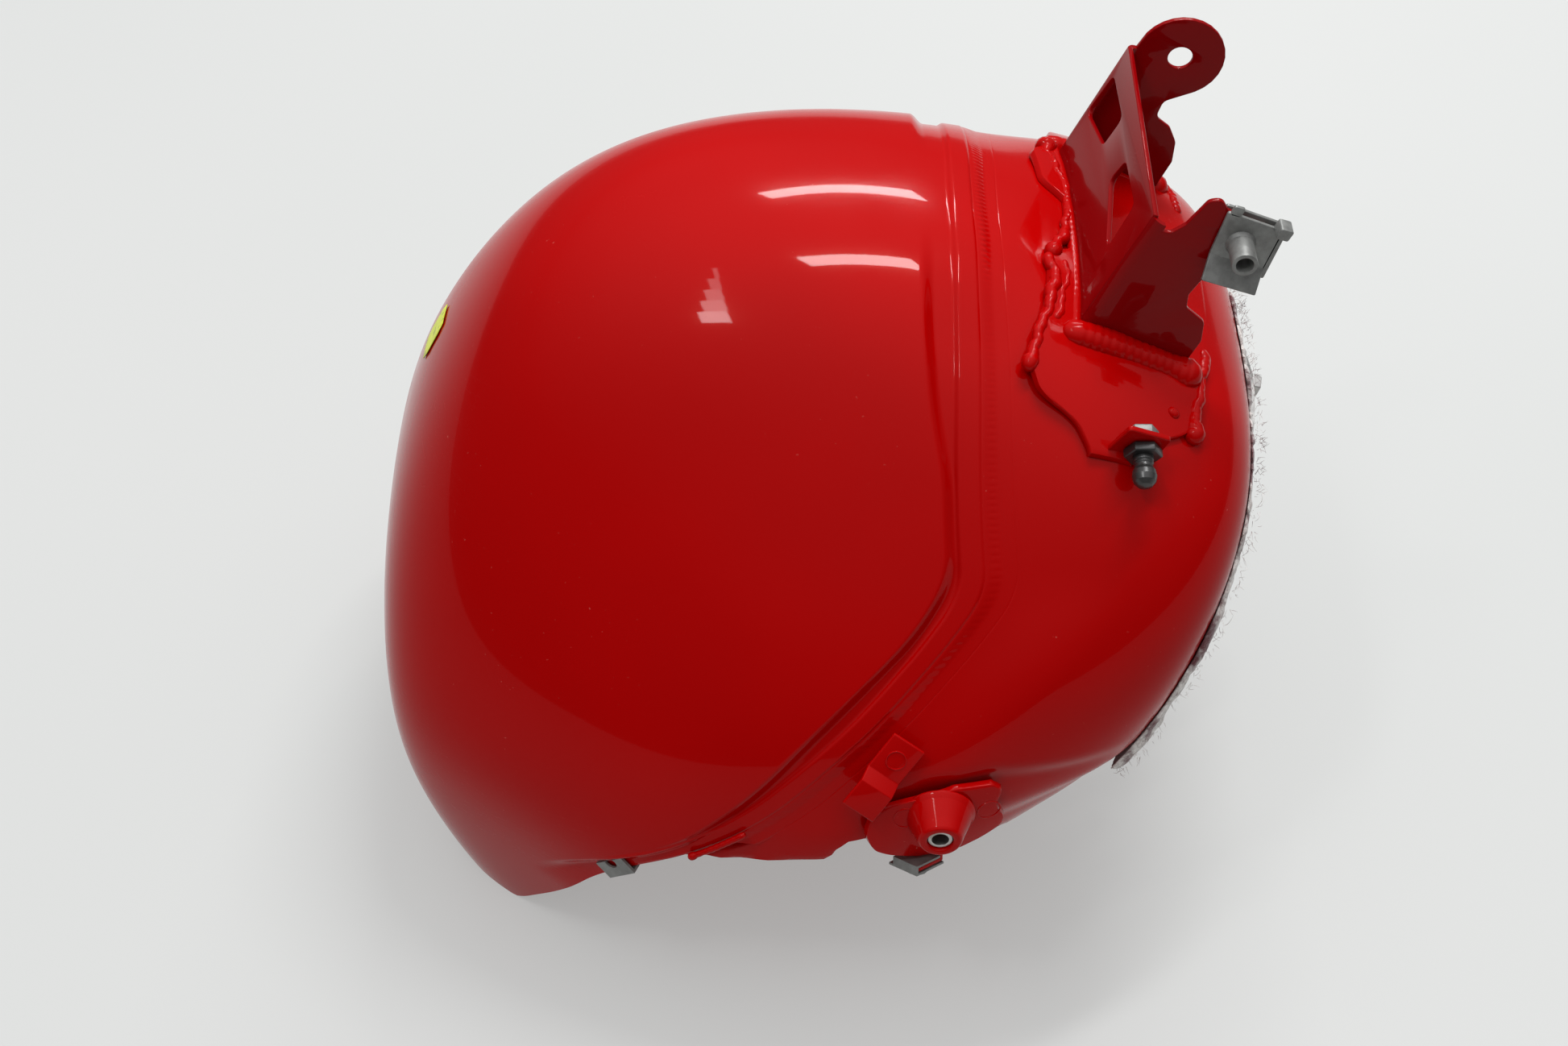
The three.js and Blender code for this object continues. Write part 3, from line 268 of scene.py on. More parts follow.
def fillet(points, radius, steps=5):
    """Rounds the corners of a closed outline."""
    points = [np.array(p, float) for p in points]
    out = []
    for i, p in enumerate(points):
        a, b = points[i - 1] - p, points[(i + 1) % len(points)] - p
        la, lb = np.linalg.norm(a), np.linalg.norm(b)
        a, b = a / la, b / lb
        half = math.acos(max(-1, min(1, float(a @ b)))) / 2
        cut = min(radius / math.tan(half), 0.45 * la, 0.45 * lb) if half < 1.55 else 0
        if cut < 1e-3:
            out.append(p)
            continue
        s, e = p + a * cut, p + b * cut
        for k in range(steps + 1):
            t = k / steps
            out.append((1 - t) ** 2 * s + 2 * t * (1 - t) * p + t * t * e)
    return np.array(out)


def circle(x, y, radius, sides=32):
    a = np.arange(sides) * 2 * math.pi / sides
    return np.stack([x + radius * np.cos(a), y + radius * np.sin(a)], -1)


def wound(loop, left):
    x, y = loop[:, 0], loop[:, 1]
    area = float((x * np.roll(y, -1) - np.roll(x, -1) * y).sum())
    return loop if (area > 0) == left else loop[::-1]


def inset(loop, by):
    """Moves a loop to the side of its material, the left of its run."""
    a, b = unit(loop - np.roll(loop, 1, 0)), unit(np.roll(loop, -1, 0) - loop)
    left = lambda v: np.stack([-v[:, 1], v[:, 0]], -1)
    n = unit(left(a) + left(b))
    return loop + n * (by / np.maximum(0.5, (n * left(b)).sum(-1)))[:, None]


def plate(outline, z0, z1, holes=(), round_by=0.4, segments=3):
    """A flat plate along Z with holes and rounded rims."""
    loops = [wound(np.asarray(outline, float), True)] + [wound(np.asarray(h, float), False) for h in holes]
    levels = []
    for k in range(segments + 1):
        a = k / segments * math.pi / 2
        levels.append((round_by * (1 - math.sin(a)), z0 + round_by * (1 - math.cos(a))))
    levels += [(i, z1 - (z - z0)) for i, z in reversed(levels)]
    points, faces, caps = [], [], [[], []]
    for loop in loops:
        n, start = len(loop), sum(len(p) for p in points)
        for i, z in levels:
            points.append(np.column_stack([inset(loop, i), np.full(n, z)]))
        for r in range(len(levels) - 1):
            for j in range(n):
                k = (j + 1) % n
                below, above = start + r * n, start + (r + 1) * n
                faces.append([below + j, below + k, above + k, above + j])
        caps[0].append(range(start, start + n))
        caps[1].append(range(start + (len(levels) - 1) * n, start + len(levels) * n))
    points = np.concatenate(points)
    for cap in caps:
        index = [i for loop in cap for i in loop]
        tris = tessellate_polygon([[Vector(points[i]) for i in loop] for loop in cap])
        faces += [[index[i] for i in tri] for tri in tris]
    return points, faces


def lathe(profile, sides=64):
    """Turns an outline of (radius, z) about Z."""
    profile = np.asarray(profile, float)
    a = np.arange(sides) * 2 * math.pi / sides
    radius, height = profile[:, :1], np.repeat(profile[:, 1:], sides, 1)
    grid = np.stack([radius * np.cos(a), radius * np.sin(a), height], -1)
    closed = profile[0, 0] > 1e-6
    if closed:
        grid = np.concatenate([grid, grid[:1]])
    face = quads(grid.shape[0], sides, True)
    if closed:
        face = face % (len(profile) * sides)
        grid = grid[:-1]
    return grid.reshape(-1, 3), face.tolist()


def frames_along(path):
    """Two directions across a path at each point, without twist."""
    tangent = unit(np.gradient(path, axis=0))
    side = np.cross(tangent[0], [0.31, 0.57, 0.76])
    sides = []
    for t in tangent:
        side = side - t * (side @ t)
        side = side / np.linalg.norm(side)
        sides.append(side)
    sides = np.array(sides)
    return sides, np.cross(tangent, sides)


def tube(path, radius, sides=12):
    """A closed rod along a path; radius may change along it, and the ends are domed."""
    path = np.asarray(path, float)
    radius = np.broadcast_to(np.asarray(radius, float), (len(path),)).copy()
    across, up = frames_along(path)
    ends = []
    for end, nxt in ((0, 1), (-1, -2)):
        out = unit(path[end] - path[nxt])
        size = radius[end]
        dome = (0.5, 1.0, 1.4, 1.57)
        ends.append([(path[end] + out * size * math.sin(b), size * math.cos(b)) for b in dome])
    path = np.concatenate([[p for p, _ in reversed(ends[0])], path, [p for p, _ in ends[1]]])
    radius = np.concatenate([[r for _, r in reversed(ends[0])], radius, [r for _, r in ends[1]]])
    across = np.concatenate([across[:1].repeat(4, 0), across, across[-1:].repeat(4, 0)])
    up = np.concatenate([up[:1].repeat(4, 0), up, up[-1:].repeat(4, 0)])
    a = np.arange(sides) * 2 * math.pi / sides
    grid = path[:, None] + radius[:, None, None] * (
        across[:, None] * np.cos(a)[None, :, None] + up[:, None] * np.sin(a)[None, :, None])
    face = quads(len(path), sides, True).tolist()
    face.append(list(range(sides))[::-1])
    face.append([(len(path) - 1) * sides + k for k in range(sides)])
    return grid.reshape(-1, 3), face


def resample(points, step):
    points = np.asarray(points, float)
    for _ in range(3):  # corner cutting
        q = points[:-1] * 0.75 + points[1:] * 0.25
        r = points[:-1] * 0.25 + points[1:] * 0.75
        points = np.concatenate([points[:1], np.stack([q, r], 1).reshape(-1, points.shape[1]), points[-1:]])
    far = np.concatenate([[0], np.cumsum(np.linalg.norm(np.diff(points, axis=0), axis=1))])
    at = np.linspace(0, far[-1], max(3, int(far[-1] / step) + 1))
    return np.stack([np.interp(at, far, points[:, k]) for k in range(points.shape[1])], -1)


def basis(origin, x, y, z):
    m = np.eye(4)
    m[:3, 0], m[:3, 1], m[:3, 2], m[:3, 3] = x, y, z, origin
    return m


def basis_along(origin, axis, hint):
    z = unit(np.array(axis, float))
    y = unit(np.cross(z, hint))
    return basis(origin, np.cross(y, z), y, z)


def shift(x, y, z):
    return basis((x, y, z), *np.eye(3))


def turn(axis, degrees):
    return np.array(Matrix.Rotation(math.radians(degrees), 4, axis))


# ---------- materials ----------
class Nodes:
    """Short hand for building one procedural material."""

    def __init__(self, name):
        self.material = bpy.data.materials.new(name)
        self.material.use_nodes = True
        self.tree = self.material.node_tree
        self.shader = self.tree.nodes["Principled BSDF"]
        self.place = self.tree.nodes.new("ShaderNodeTexCoord").outputs["Object"]

    def node(self, kind, inputs=None, **values):
        n = self.tree.nodes.new(kind)
        for key, value in values.items():
            setattr(n, key, value)
        for key, value in (inputs or {}).items():
            self.put(n.inputs[key], value)
        return n

    def put(self, socket, value):
        if isinstance(value, bpy.types.NodeSocket):
            self.tree.links.new(value, socket)
        else:
            socket.default_value = value

    def noise(self, scale, detail=3.0, rough=0.5, stretch=None, spin=None, distort=0.0):
        place = self.place
        if stretch:
            m = self.node("ShaderNodeMapping", {"Vector": place, "Scale": stretch})
            if spin:
                m.inputs["Rotation"].default_value = spin
            place = m.outputs["Vector"]
        n = self.node("ShaderNodeTexNoise", {
            "Vector": place, "Scale": scale, "Detail": detail, "Roughness": rough, "Distortion": distort})
        return n.outputs["Fac"]

    def ramp(self, fac, *stops):
        n = self.node("ShaderNodeValToRGB", {"Fac": fac})
        line = n.color_ramp
        while len(line.elements) < len(stops):
            line.elements.new(0.5)
        for element, (at, colour) in zip(line.elements, stops):
            element.position = at
            element.color = (*colour, 1) if len(colour) == 3 else (colour[0],) * 3 + (1,)
        return n.outputs["Color"]

    def math(self, operation, a, b=0.0):
        n = self.node("ShaderNodeMath", {0: a, 1: b}, operation=operation)
        return n.outputs["Value"]

    def mix(self, fac, a, b):
        n = self.node("ShaderNodeMix", data_type="RGBA")
        self.put(n.inputs[0], fac)
        self.put(n.inputs[6], a if isinstance(a, bpy.types.NodeSocket) else (*a, 1))
        self.put(n.inputs[7], b if isinstance(b, bpy.types.NodeSocket) else (*b, 1))
        return n.outputs[2]

    def bump(self, height, strength, distance, under=None):
        n = self.node("ShaderNodeBump", {"Height": height, "Strength": strength, "Distance": distance})
        if under is not None:
            self.put(n.inputs["Normal"], under)
        return n.outputs["Normal"]

    def finish(self, colour, roughness, normal=None, **fixed):
        self.put(self.shader.inputs["Base Color"], colour)
        self.put(self.shader.inputs["Roughness"], roughness)
        if normal is not None:
            self.put(self.shader.inputs["Normal"], normal)
        for key, value in fixed.items():
            self.shader.inputs[key.replace("_", " ")].default_value = value
        return self.material


def red_paint(name, tone):
    m = Nodes(name)
    drift = m.noise(9, 2)
    colour = m.ramp(drift, (0.3, tuple(0.90 * c for c in tone)), (0.7, tone))
    dust = m.ramp(m.noise(520, 2, 0.6), (0.73, (0,)), (0.80, (1,)))
    patch = m.ramp(m.noise(14, 3), (0.50, (0,)), (0.70, (0.55,)))
    dirt = m.math("MULTIPLY", dust, patch)
    colour = m.mix(dirt, colour, (0.60, 0.16, 0.13))
    streaks = m.noise(6, 4, 0.6, (1, 9, 26), (0.4, 0.9, 0.3), 0.6)
    marks = m.ramp(streaks, (0.495, (0,)), (0.50, (1,)), (0.505, (0,)))
    marks = m.math("MULTIPLY", marks, m.ramp(m.noise(11, 2), (0.52, (0,)), (0.62, (1,))))
    haze = m.ramp(m.noise(22, 3), (0.35, (0.13,)), (0.75, (0.24,)))
    rough = m.math("ADD", haze, m.math("MULTIPLY", marks, 0.25))
    peel = m.bump(m.noise(300, 2), 0.05, 0.0004)
    normal = m.bump(marks, 0.06, 0.0001, peel)
    return m.finish(
        colour, rough, normal, Specular_IOR_Level=0.03, Specular_Tint=(1.0, 0.35, 0.25, 1.0),
        Coat_Weight=0.15, Coat_Roughness=0.035)


def bare_metal(name, light, dark, rough, grain=240.0, metallic=1.0, stain=None):
    m = Nodes(name)
    mottle = m.noise(grain, 4, 0.65)
    colour = m.ramp(mottle, (0.3, dark), (0.7, light))
    if stain:
        spots = m.ramp(m.noise(65, 4, 0.7), (0.56, (0,)), (0.72, (1,)))
        colour = m.mix(spots, colour, stain)
    roughness = m.ramp(m.noise(grain * 0.5, 3), (0.3, (rough * 0.75,)), (0.75, (rough * 1.3,)))
    normal = m.bump(m.noise(grain * 4, 2), 0.12, 0.0002)
    return m.finish(colour, roughness, normal, Metallic=metallic)


def moulded(name, low, high, rough, grain=900.0):
    m = Nodes(name)
    colour = m.ramp(m.noise(60, 3), (0.3, low), (0.75, high))
    roughness = m.ramp(m.noise(35, 3), (0.3, (rough * 0.8,)), (0.75, (rough * 1.2,)))
    normal = m.bump(m.noise(grain, 2), 0.2, 0.0002)
    return m.finish(colour, roughness, normal)


def felt_cloth():
    m = Nodes("felt")
    fibre = m.noise(420, 4, 0.7, distort=1.2)
    wool = m.ramp(fibre, (0.30, (0.30, 0.24, 0.22)), (0.52, (0.60, 0.56, 0.53)), (0.74, (0.80, 0.77, 0.74)))
    spray = m.ramp(m.noise(34, 5, 0.7), (0.47, (0,)), (0.55, (1,)))
    colour = m.mix(spray, wool, (0.09, 0.008, 0.012))
    normal = m.bump(fibre, 0.9, 0.0012)
    return m.finish(colour, 0.95, normal, Sheen_Weight=0.4, Sheen_Roughness=0.6)


def label_film():
    m = Nodes("yellow_label")
    print_marks = m.ramp(m.noise(260, 2, 0.5), (0.60, (0,)), (0.66, (1,)))
    base = m.ramp(m.noise(90, 3), (0.3, (0.52, 0.58, 0.02)), (0.7, (0.70, 0.74, 0.05)))
    colour = m.mix(m.math("MULTIPLY", print_marks, 0.6), base, (0.16, 0.17, 0.03))
    return m.finish(colour, 0.45, m.bump(m.noise(600, 2), 0.1, 0.0001))


PAINT = red_paint("red_paint", (0.32, 0.0003, 0.0004))
# A darker copy of the red paint, given to the whole rear bracket.
DEEP_PAINT = red_paint("red_paint_dark", (0.18, 0.0008, 0.0016))
STEEL = bare_metal("plain_steel", (0.52, 0.51, 0.49), (0.34, 0.33, 0.32), 0.36, stain=(0.20, 0.14, 0.10))
ZINC = bare_metal("zinc_plate", (0.20, 0.205, 0.195), (0.11, 0.11, 0.105), 0.45, 160, 0.4)
ALLOY = bare_metal("cap_alloy", (0.70, 0.71, 0.72), (0.58, 0.59, 0.60), 0.30, 500)
RUBBER = moulded("black_rubber", (0.010, 0.010, 0.010), (0.028, 0.027, 0.026), 0.8)
PLASTIC = moulded("black_plastic", (0.014, 0.014, 0.015), (0.032, 0.032, 0.033), 0.5)
BLACK_STEEL = moulded("black_steel", (0.008, 0.008, 0.008), (0.022, 0.021, 0.020), 0.32, 500)
FELT = felt_cloth()
LABEL = label_film()
LOOKS = {
    "red_paint": PAINT, "plain_steel": STEEL, "zinc_plate": ZINC, "cap_alloy": ALLOY, "black_rubber": RUBBER,
    "black_plastic": PLASTIC, "black_steel": BLACK_STEEL, "felt": FELT, "yellow_label": LABEL,
}


def piece(obj, slot, replaces=(), body="tank", look=None):
    obj.data.materials.clear()
    obj.data.materials.append(look or LOOKS[slot])
    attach(obj, body)
    if replaces:
        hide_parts(*replaces)
    return obj


# ---------- outer shell ----------
SHELL_COLS = 480
theta = np.arange(SHELL_COLS) * 360 / SHELL_COLS
rim = rim_angle(theta)
crease = crease_angle(theta, rim)


def shell_grid(lift):
    upper = np.linspace(0.0005, 1, 92)[:, None] * (crease - 5)
    lower = crease - 5 + np.linspace(0, 1, 60)[1:, None] * (rim - crease + 5)
    phi = np.concatenate([upper, lower])
    t = np.broadcast_to(theta, phi.shape)
    p = skin_point(t, phi, shell_lift(t, phi, rim) + lip_lift(t, phi, rim) + lift)
    p[..., 2] = np.maximum(p[..., 2], 0)
    return p


FILLER_TILT = math.radians(5)
FILLER = basis(
    (-160.5, 0, 87), (0, -1, 0),
    (-math.sin(FILLER_TILT), 0, math.cos(FILLER_TILT)),
    (-math.cos(FILLER_TILT), 0, -math.sin(FILLER_TILT)))
DISH_RADIUS, DISH_DEPTH, NECK_BORE, NECK_LENGTH = 55.0, 13.0, 25.0, 50.0



def cutter(name, radius, low, high, sides, matrix):
    """A plain cylinder to cut with."""
    return build(name, [moved(lathe([(0, low), (radius, low), (radius, high), (0, high)], sides), matrix)])


shell = build("shell_skin", [sheet(shell_grid(0), shell_grid(-SKIN), True)])
filler_cut = cutter("filler_cut", DISH_RADIUS, -30, 30, 96, FILLER)
carve(shell, [filler_cut])
piece(shell, "red_paint", ["outer_shell"])

# ---------- lower pan ----------
def tuck(t):
    return STEP + GAP + 1.1 * smooth(106, 128, t)


def pan_clear(phi):
    """How far the pan's skin stays inside the airbox hollow, positive where it is free."""
    p = skin_point(theta, phi, -tuck(fold(theta)) + shell_lift(theta, rim, rim)) - CENTRE
    far = np.linalg.norm(p, axis=-1)
    return recess_radius(p / far[:, None]) - far


def pan_start():
    """Ring angle where the pan begins, just under the shell's hem or at the hollow's edge."""
    top = rim - 1.4
    lo, hi = np.full_like(theta, 15.0), top.copy()
    for _ in range(26):
        mid = (lo + hi) / 2
        clear = pan_clear(mid) > 0
        lo, hi = np.where(clear, mid, lo), np.where(clear, hi, mid)
    return np.where(pan_clear(top) > 0, top, lo)


def recess_normal(u):
    w = np.maximum(0, (u @ RECESS_PLANES[:, :3].T) / RECESS_PLANES[:, 3])
    w = (w / np.maximum(w.max(-1, keepdims=True), 1e-9)) ** (RECESS_EDGE - 1) / RECESS_PLANES[:, 3]
    return unit(w @ RECESS_PLANES[:, :3] + 1e-12)


def pan_grid(lift):
    start = pan_start()
    near = start + np.linspace(0, 7, 36)[:, None]
    far = start + 7 + (179.5 - start - 7) * np.linspace(0, 1, 120)[1:, None]
    phi = np.concatenate([near, far])
    t = np.broadcast_to(theta, phi.shape)
    f = fold(t)
    u = direction(t, phi)
    step = -tuck(f) * (1 - smooth(rim + 2.6, rim + 4, phi) * (1 - smooth(100, 108, f)))
    seam_fade = smooth(rim + 18, rim + 2.6, phi)
    line = ring(DENT_LINE, phi)
    dent = -DENT * smooth(92, 99, phi) * (1 - smooth(118, 134, phi)) * smooth(line, line + 4, f)
    p = skin_point(t, phi, step + shell_lift(t, rim + 0 * phi, rim) * seam_fade + dent)
    r = np.linalg.norm(p - CENTRE, axis=-1)
    recess = recess_radius(u)
    q = CENTRE + unit(p - CENTRE) * np.minimum(r, recess)[..., None]
    n = np.where((r < recess)[..., None], normal_at(p), recess_normal(u))
    return q + n * lift


PUMP_TILT = math.radians(17)
PUMP = basis_along((160.5, 0, 138), (math.cos(PUMP_TILT), 0, -math.sin(PUMP_TILT)), (0, 1, 0))
PUMP_RING = 54.0
DRAIN_ACROSS, DRAIN_ALONG = 14, -46.5
pipe_z = (FILLER @ np.array([DRAIN_ACROSS, DRAIN_ALONG, -12.9, 1]))[:3]


def pipe_path(side):
    points = [
        (pipe_z[0], side * 14, pipe_z[2]), (-120, side * 15, pipe_z[2] + 3), (-60, side * 24, 64),
        (20, side * 34, 88), (90, side * 40, 96), (136, side * 41, 92), (166, side * 41, 92),
    ]
    return resample(points, 6)


pan = build("pan_skin", [sheet(pan_grid(0), pan_grid(-SKIN), True)])
pump_cut = cutter("pump_cut", PUMP_RING + 0.6, -40, 40, 96, PUMP)
pipe_cuts = [build("pipe_cut", [tube(pipe_path(s)[-9:], 3.9, 16)]) for s in (1, -1)]
carve(pan, [pump_cut] + pipe_cuts)
piece(pan, "red_paint", ["lower_pan"])


def closed_skin(lift):
    t = np.arange(0, 360, 1.5)
    phi = np.linspace(0.02, 179.98, 140)[:, None] + 0 * t
    grid = skin_point(t + 0 * phi, phi, lift)
    rows, cols = grid.shape[:2]
    ends = [list(range(cols))[::-1], [(rows - 1) * cols + k for k in range(cols)]]
    face = quads(rows, cols, True).tolist() + ends
    return build("closed_skin", [(grid.reshape(-1, 3), face)], weld=False)


skin_0, skin_1 = closed_skin(0.0), closed_skin(1.2)

# ---------- seam weld ----------
def bead(points_on_skin, radius, lift, ripple=0.1, pitch=2.6, ends=(1.0, 1.0), seed=1, sway=0.0):
    """A weld bead laid along ring angles on the skin, with the ripples of each weld pass."""
    path = resample(points_on_skin, 0.35 if len(points_on_skin) < 12 else 0.4)
    at = skin_point(path[:, 0], path[:, 1], lift)
    far = np.concatenate([[0], np.cumsum(np.linalg.norm(np.diff(at, axis=0), axis=1))])
    even = np.arange(0, far[-1], 0.55)
    at = np.stack([np.interp(even, far, at[:, k]) for k in range(3)], -1)
    rng = np.random.default_rng(seed)
    knots = np.arange(0, far[-1] + 9, 7.0)
    wobble = np.interp(even, knots, rng.normal(0, 0.12, len(knots)))
    size = radius * (1 + ripple * np.abs(np.sin(math.pi * even / pitch)) - ripple / 2 + wobble)
    first, last = np.exp(-(even / 3.5) ** 2), np.exp(-((far[-1] - even) / 3.5) ** 2)
    size *= 1 + (ends[0] - 1) * first + (ends[1] - 1) * last
    if sway:
        across = unit(np.cross(normal_at(at), unit(np.gradient(at, axis=0))))
        wander = np.sin(even / 2.6 + seed) + 0.6 * np.sin(even / 1.1 + 2 * seed)
        at = at + across * (sway * wander)[:, None]
    return tube(at, size, 14)


def seam_fill():
    """The weld that closes the step between the shell's hem and the pan, rippled near the bracket."""
    t = np.arange(-103.0, 103.01, 0.12)
    edge = rim_angle(t)
    f = np.linspace(0, 1, 26)[:, None]
    phi = edge - 0.35 + 4.75 * f + 0 * t
    band = shell_lift(t, edge, edge) * smooth(edge + 18, edge + 2.6, phi)
    arc = t / 360 * 2 * math.pi * 140
    ripple = 0.5 * np.abs(np.sin(math.pi * arc / 2.6 + 0.5 * np.sin(arc / 7)))
    ripple = ripple * (1 - 0.9 * smooth(9, 20, np.abs(t)))
    hem = 1 - smooth(106, 118, np.abs(t))
    slope = 0.95 * hem * (1 - smooth(0.04, 0.55, f))
    crown = np.sin(math.pi * np.clip((f - 0.1) / 0.5, 0, 1)) ** 2
    height = slope + crown * ripple - 0.35 * smooth(0.88, 1.0, f) - 0.8 * smooth(0.05, 0.0, f)
    top = skin_point(t + 0 * phi, phi, band + height)
    return sheet(top, skin_point(t + 0 * phi, phi, band - 2.2))


def seam_blob(side):
    """The lump of weld metal where the seam weld stops."""
    path = [(side * 101.0, 81.6), (side * 103.0, 78.9), (side * 105.4, 75.6)]
    return bead(path, 1.3, -0.4, 0.1, 2.6, (1.0, 1.5), 2)


seam_parts = [seam_fill(), seam_blob(1), seam_blob(-1)]
piece(build("seam_bead", seam_parts), "red_paint", ["seam_weld"])

# ---------- rear base plate with its welds ----------
BRACKET_AT = np.array([108.0, 0, 257])
ACROSS = unit(np.array([0.906, 0, -0.423]))
UP = unit(np.array([0.423, 0, 0.906]))
Y_AXIS = np.array([0.0, 1, 0])
HALF = 54.0


def drop_to_skin(p, towards):
    """Moves points along one direction until they meet the skin."""
    lo, hi = np.full(p.shape[:-1], -60.0), np.full(p.shape[:-1], 60.0)
    for _ in range(24):
        mid = (lo + hi) / 2
        out = inside(p + mid[..., None] * towards) > 1
        lo, hi = np.where(out, mid, lo), np.where(out, hi, mid)
    return p + lo[..., None] * towards


def laid(m, ys, x0, x1, cols, low, high, rim_by=1.4):
    """A plate laid on the skin: rows at ys from x0 to x1, its upper face rounded down at the rim."""
    f = np.linspace(0, 1, cols)
    x = x0[:, None] + (x1 - x0)[:, None] * f
    y = np.broadcast_to(ys[:, None], x.shape)
    p = np.stack([x, y, 0 * x, 0 * x + 1], -1) @ m.T
    q = drop_to_skin(p[..., :3], -m[:3, 2])
    n = normal_at(q)
    edge = np.minimum.reduce([x - x0[:, None], x1[:, None] - x, y - ys[0], ys[-1] - y])
    up = low + (high - low) * np.sqrt(1 - (1 - np.clip(edge / rim_by, 0, 1)) ** 2)
    return sheet(q + n * up[..., None], q + n * (low - 0.3))


def blurred(values, width):
    pad = np.pad(values, width, mode="edge")
    return np.convolve(pad, np.ones(2 * width + 1) / (2 * width + 1), "valid")


DOUBLER_LEFT = [(0, -2), (14, -3), (23, -13), (45, -14), (60, -18), (71, -18), (80, -12), (86, 3), (95, 12)]
# On the right side the plate stops short behind its last weld.
DOUBLER_LEFT_FAR = [(0, -2), (14, -3), (23, -13), (45, -14), (51, -8), (60, -3), (80, 3), (95, 12)]
DOUBLER_RIGHT = [(0, 57), (43, 55), (70, 51), (79, 48), (84, 40), (88, 30), (95, 27)]
DOUBLER = basis(BRACKET_AT, ACROSS, Y_AXIS, np.cross(ACROSS, Y_AXIS))
doubler_y = np.arange(-95, 95.1, 0.8)
doubler_left = blurred(np.where(
    doubler_y > 0, ring(DOUBLER_LEFT_FAR, np.abs(doubler_y)), ring(DOUBLER_LEFT, np.abs(doubler_y))), 3)
doubler_right = blurred(ring(DOUBLER_RIGHT, np.abs(doubler_y)), 3)
TAB_TILT = math.radians(20)
STUD_AT = np.array([126.8, -94.6, 233.2])
STUD_AXIS = np.array([0, -math.cos(TAB_TILT), -math.sin(TAB_TILT)])
STUD = basis_along(STUD_AT, STUD_AXIS, (1, 0, 0))
TAB_PLANE = basis(STUD_AT, (1, 0, 0), (0, -math.sin(TAB_TILT), math.cos(TAB_TILT)), STUD_AXIS)
stud_tab = moved(plate(
    fillet([(-14.8, -8), (-6, 13.9), (9.5, 5.5), (5.8, -8), (2, -19), (-13, -19)], 1.6),
    -2, 0, [circle(0, 0, 3.4, 24)], 0.45), TAB_PLANE)
WELDS = [
    ([(-24.4, 125.7), (-18.7, 126.6), (-13.4, 128.3), (-8, 129), (-2.2, 128.8), (4.1, 127.8), (9.4, 125.6)],
     1.7, (2.0, 1.9)),
    ([(11.2, 124.7), (15.2, 125.3), (20.7, 123.9), (26.5, 121.9), (29.5, 120.6), (32.8, 120.2)],
     2.0, (1.1, 1.5)),
    ([(11.8, 127.2), (15.4, 126.9), (19.7, 125.6), (24.2, 124.3)], 1.5, (1.2, 1.0)),
    ([(25.4, 144.9), (29.8, 143.7), (34.7, 142.1), (39, 140.6), (42.8, 139.6)], 2.1, (1.0, 1.5)),
    ([(-25.4, 144.9), (-29.8, 143.7), (-34.7, 142.1), (-39, 140.6), (-42.8, 139.6)], 2.1, (1.0, 1.5)),
]
welds = []
for number, (line, size, ends) in enumerate(WELDS):
    welds.append(bead(line, 1.08 * size, 1.4, 0.09, 3.0, ends, number + 3, 0.5))
dot = bead([(39.2, 137.4), (39.6, 137.6)], 1.9, 2.0, 0.0)
base_parts = [laid(DOUBLER, doubler_y, doubler_left, doubler_right, 70, 0.5, 2.5), stud_tab]
base = build("base_plate", base_parts + welds + [dot, mirrored(dot)])
piece(base, "red_paint", ["rear_base_plate"])

# ---------- rear bracket ----------
SIDE = basis(BRACKET_AT, ACROSS, UP, np.cross(ACROSS, UP))
SIDE_SIGN = 1 if SIDE[1, 2] > 0 else -1
WEB = basis(BRACKET_AT, Y_AXIS, UP, np.cross(Y_AXIS, UP))
SHEET = 2.0
BEND = 4.5


def side_plate(outline, y0, y1, holes=(), round_by=0.4):
    z0, z1 = (y0, y1) if SIDE_SIGN > 0 else (-y1, -y0)
    return moved(plate(outline, z0, z1, holes, round_by), SIDE)


def bend_strip(sign, h0, h1):
    """The rounded fold between the web and one flange."""
    a = np.linspace(-0.12, math.pi / 2 + 0.12, 12)
    grid = []
    for r in (BEND, BEND - SHEET):
        rows = []
        for h in np.linspace(h0, h1, 12):
            x = -1 + BEND - r * np.cos(a)
            y = sign * (HALF - BEND + r * np.sin(a))
            rows.append(BRACKET_AT + x[:, None] * ACROSS + y[:, None] * Y_AXIS + h * UP)
        grid.append(np.array(rows))
    return sheet(grid[0], grid[1])


START = BEND - 1.8
EYE = (20, 54.7)
EYE_RADIUS = 17
eye_arc = []
for degrees in range(168, -41, -13):
    a = math.radians(degrees)
    eye_arc.append((EYE[0] + EYE_RADIUS * math.cos(a), EYE[1] + EYE_RADIUS * math.sin(a)))
far_outline = fillet(
    [(START, -14), (START, 50)] + eye_arc
    + [(24.5, 35), (25.5, 27.5), (33, 25.5), (38.5, 20.5), (42, 12), (42.5, -20)], 4, 4)
near_outline = fillet([
    (START, -14), (START, 47), (7, 47.5), (10, 53), (12, 65), (16, 67.5), (20, 64.5), (39.5, 62.5),
    (43, 43), (27.8, 35), (27, 26.5), (29.5, 21), (38.7, 18), (42.3, 10), (42.3, -20)], 3.2, 4)
WEB_HALF = HALF - START - 0.2
web_outline = fillet([(-WEB_HALF, -14), (WEB_HALF, -14), (WEB_HALF, 52), (-WEB_HALF, 50.5)], 0.5, 2)
windows = [
    fillet([(47, 40), (18, 41), (19, 27), (49, 20)], 3.4),
    fillet([(-6, 39), (-33, 40), (-35, 20), (-4, 28)], 3.4),
]
bracket_parts = [
    moved(plate(web_outline, -1, 1, windows, 0.45), WEB),
    side_plate(far_outline, HALF - SHEET, HALF, [circle(*EYE, 4.7)]),
    side_plate(near_outline, -HALF, -HALF + SHEET, [circle(30.5, 55, 3.8)]),
    bend_strip(1, -14, 51.5),
    bend_strip(-1, -14, 49.5),
]
bracket = []
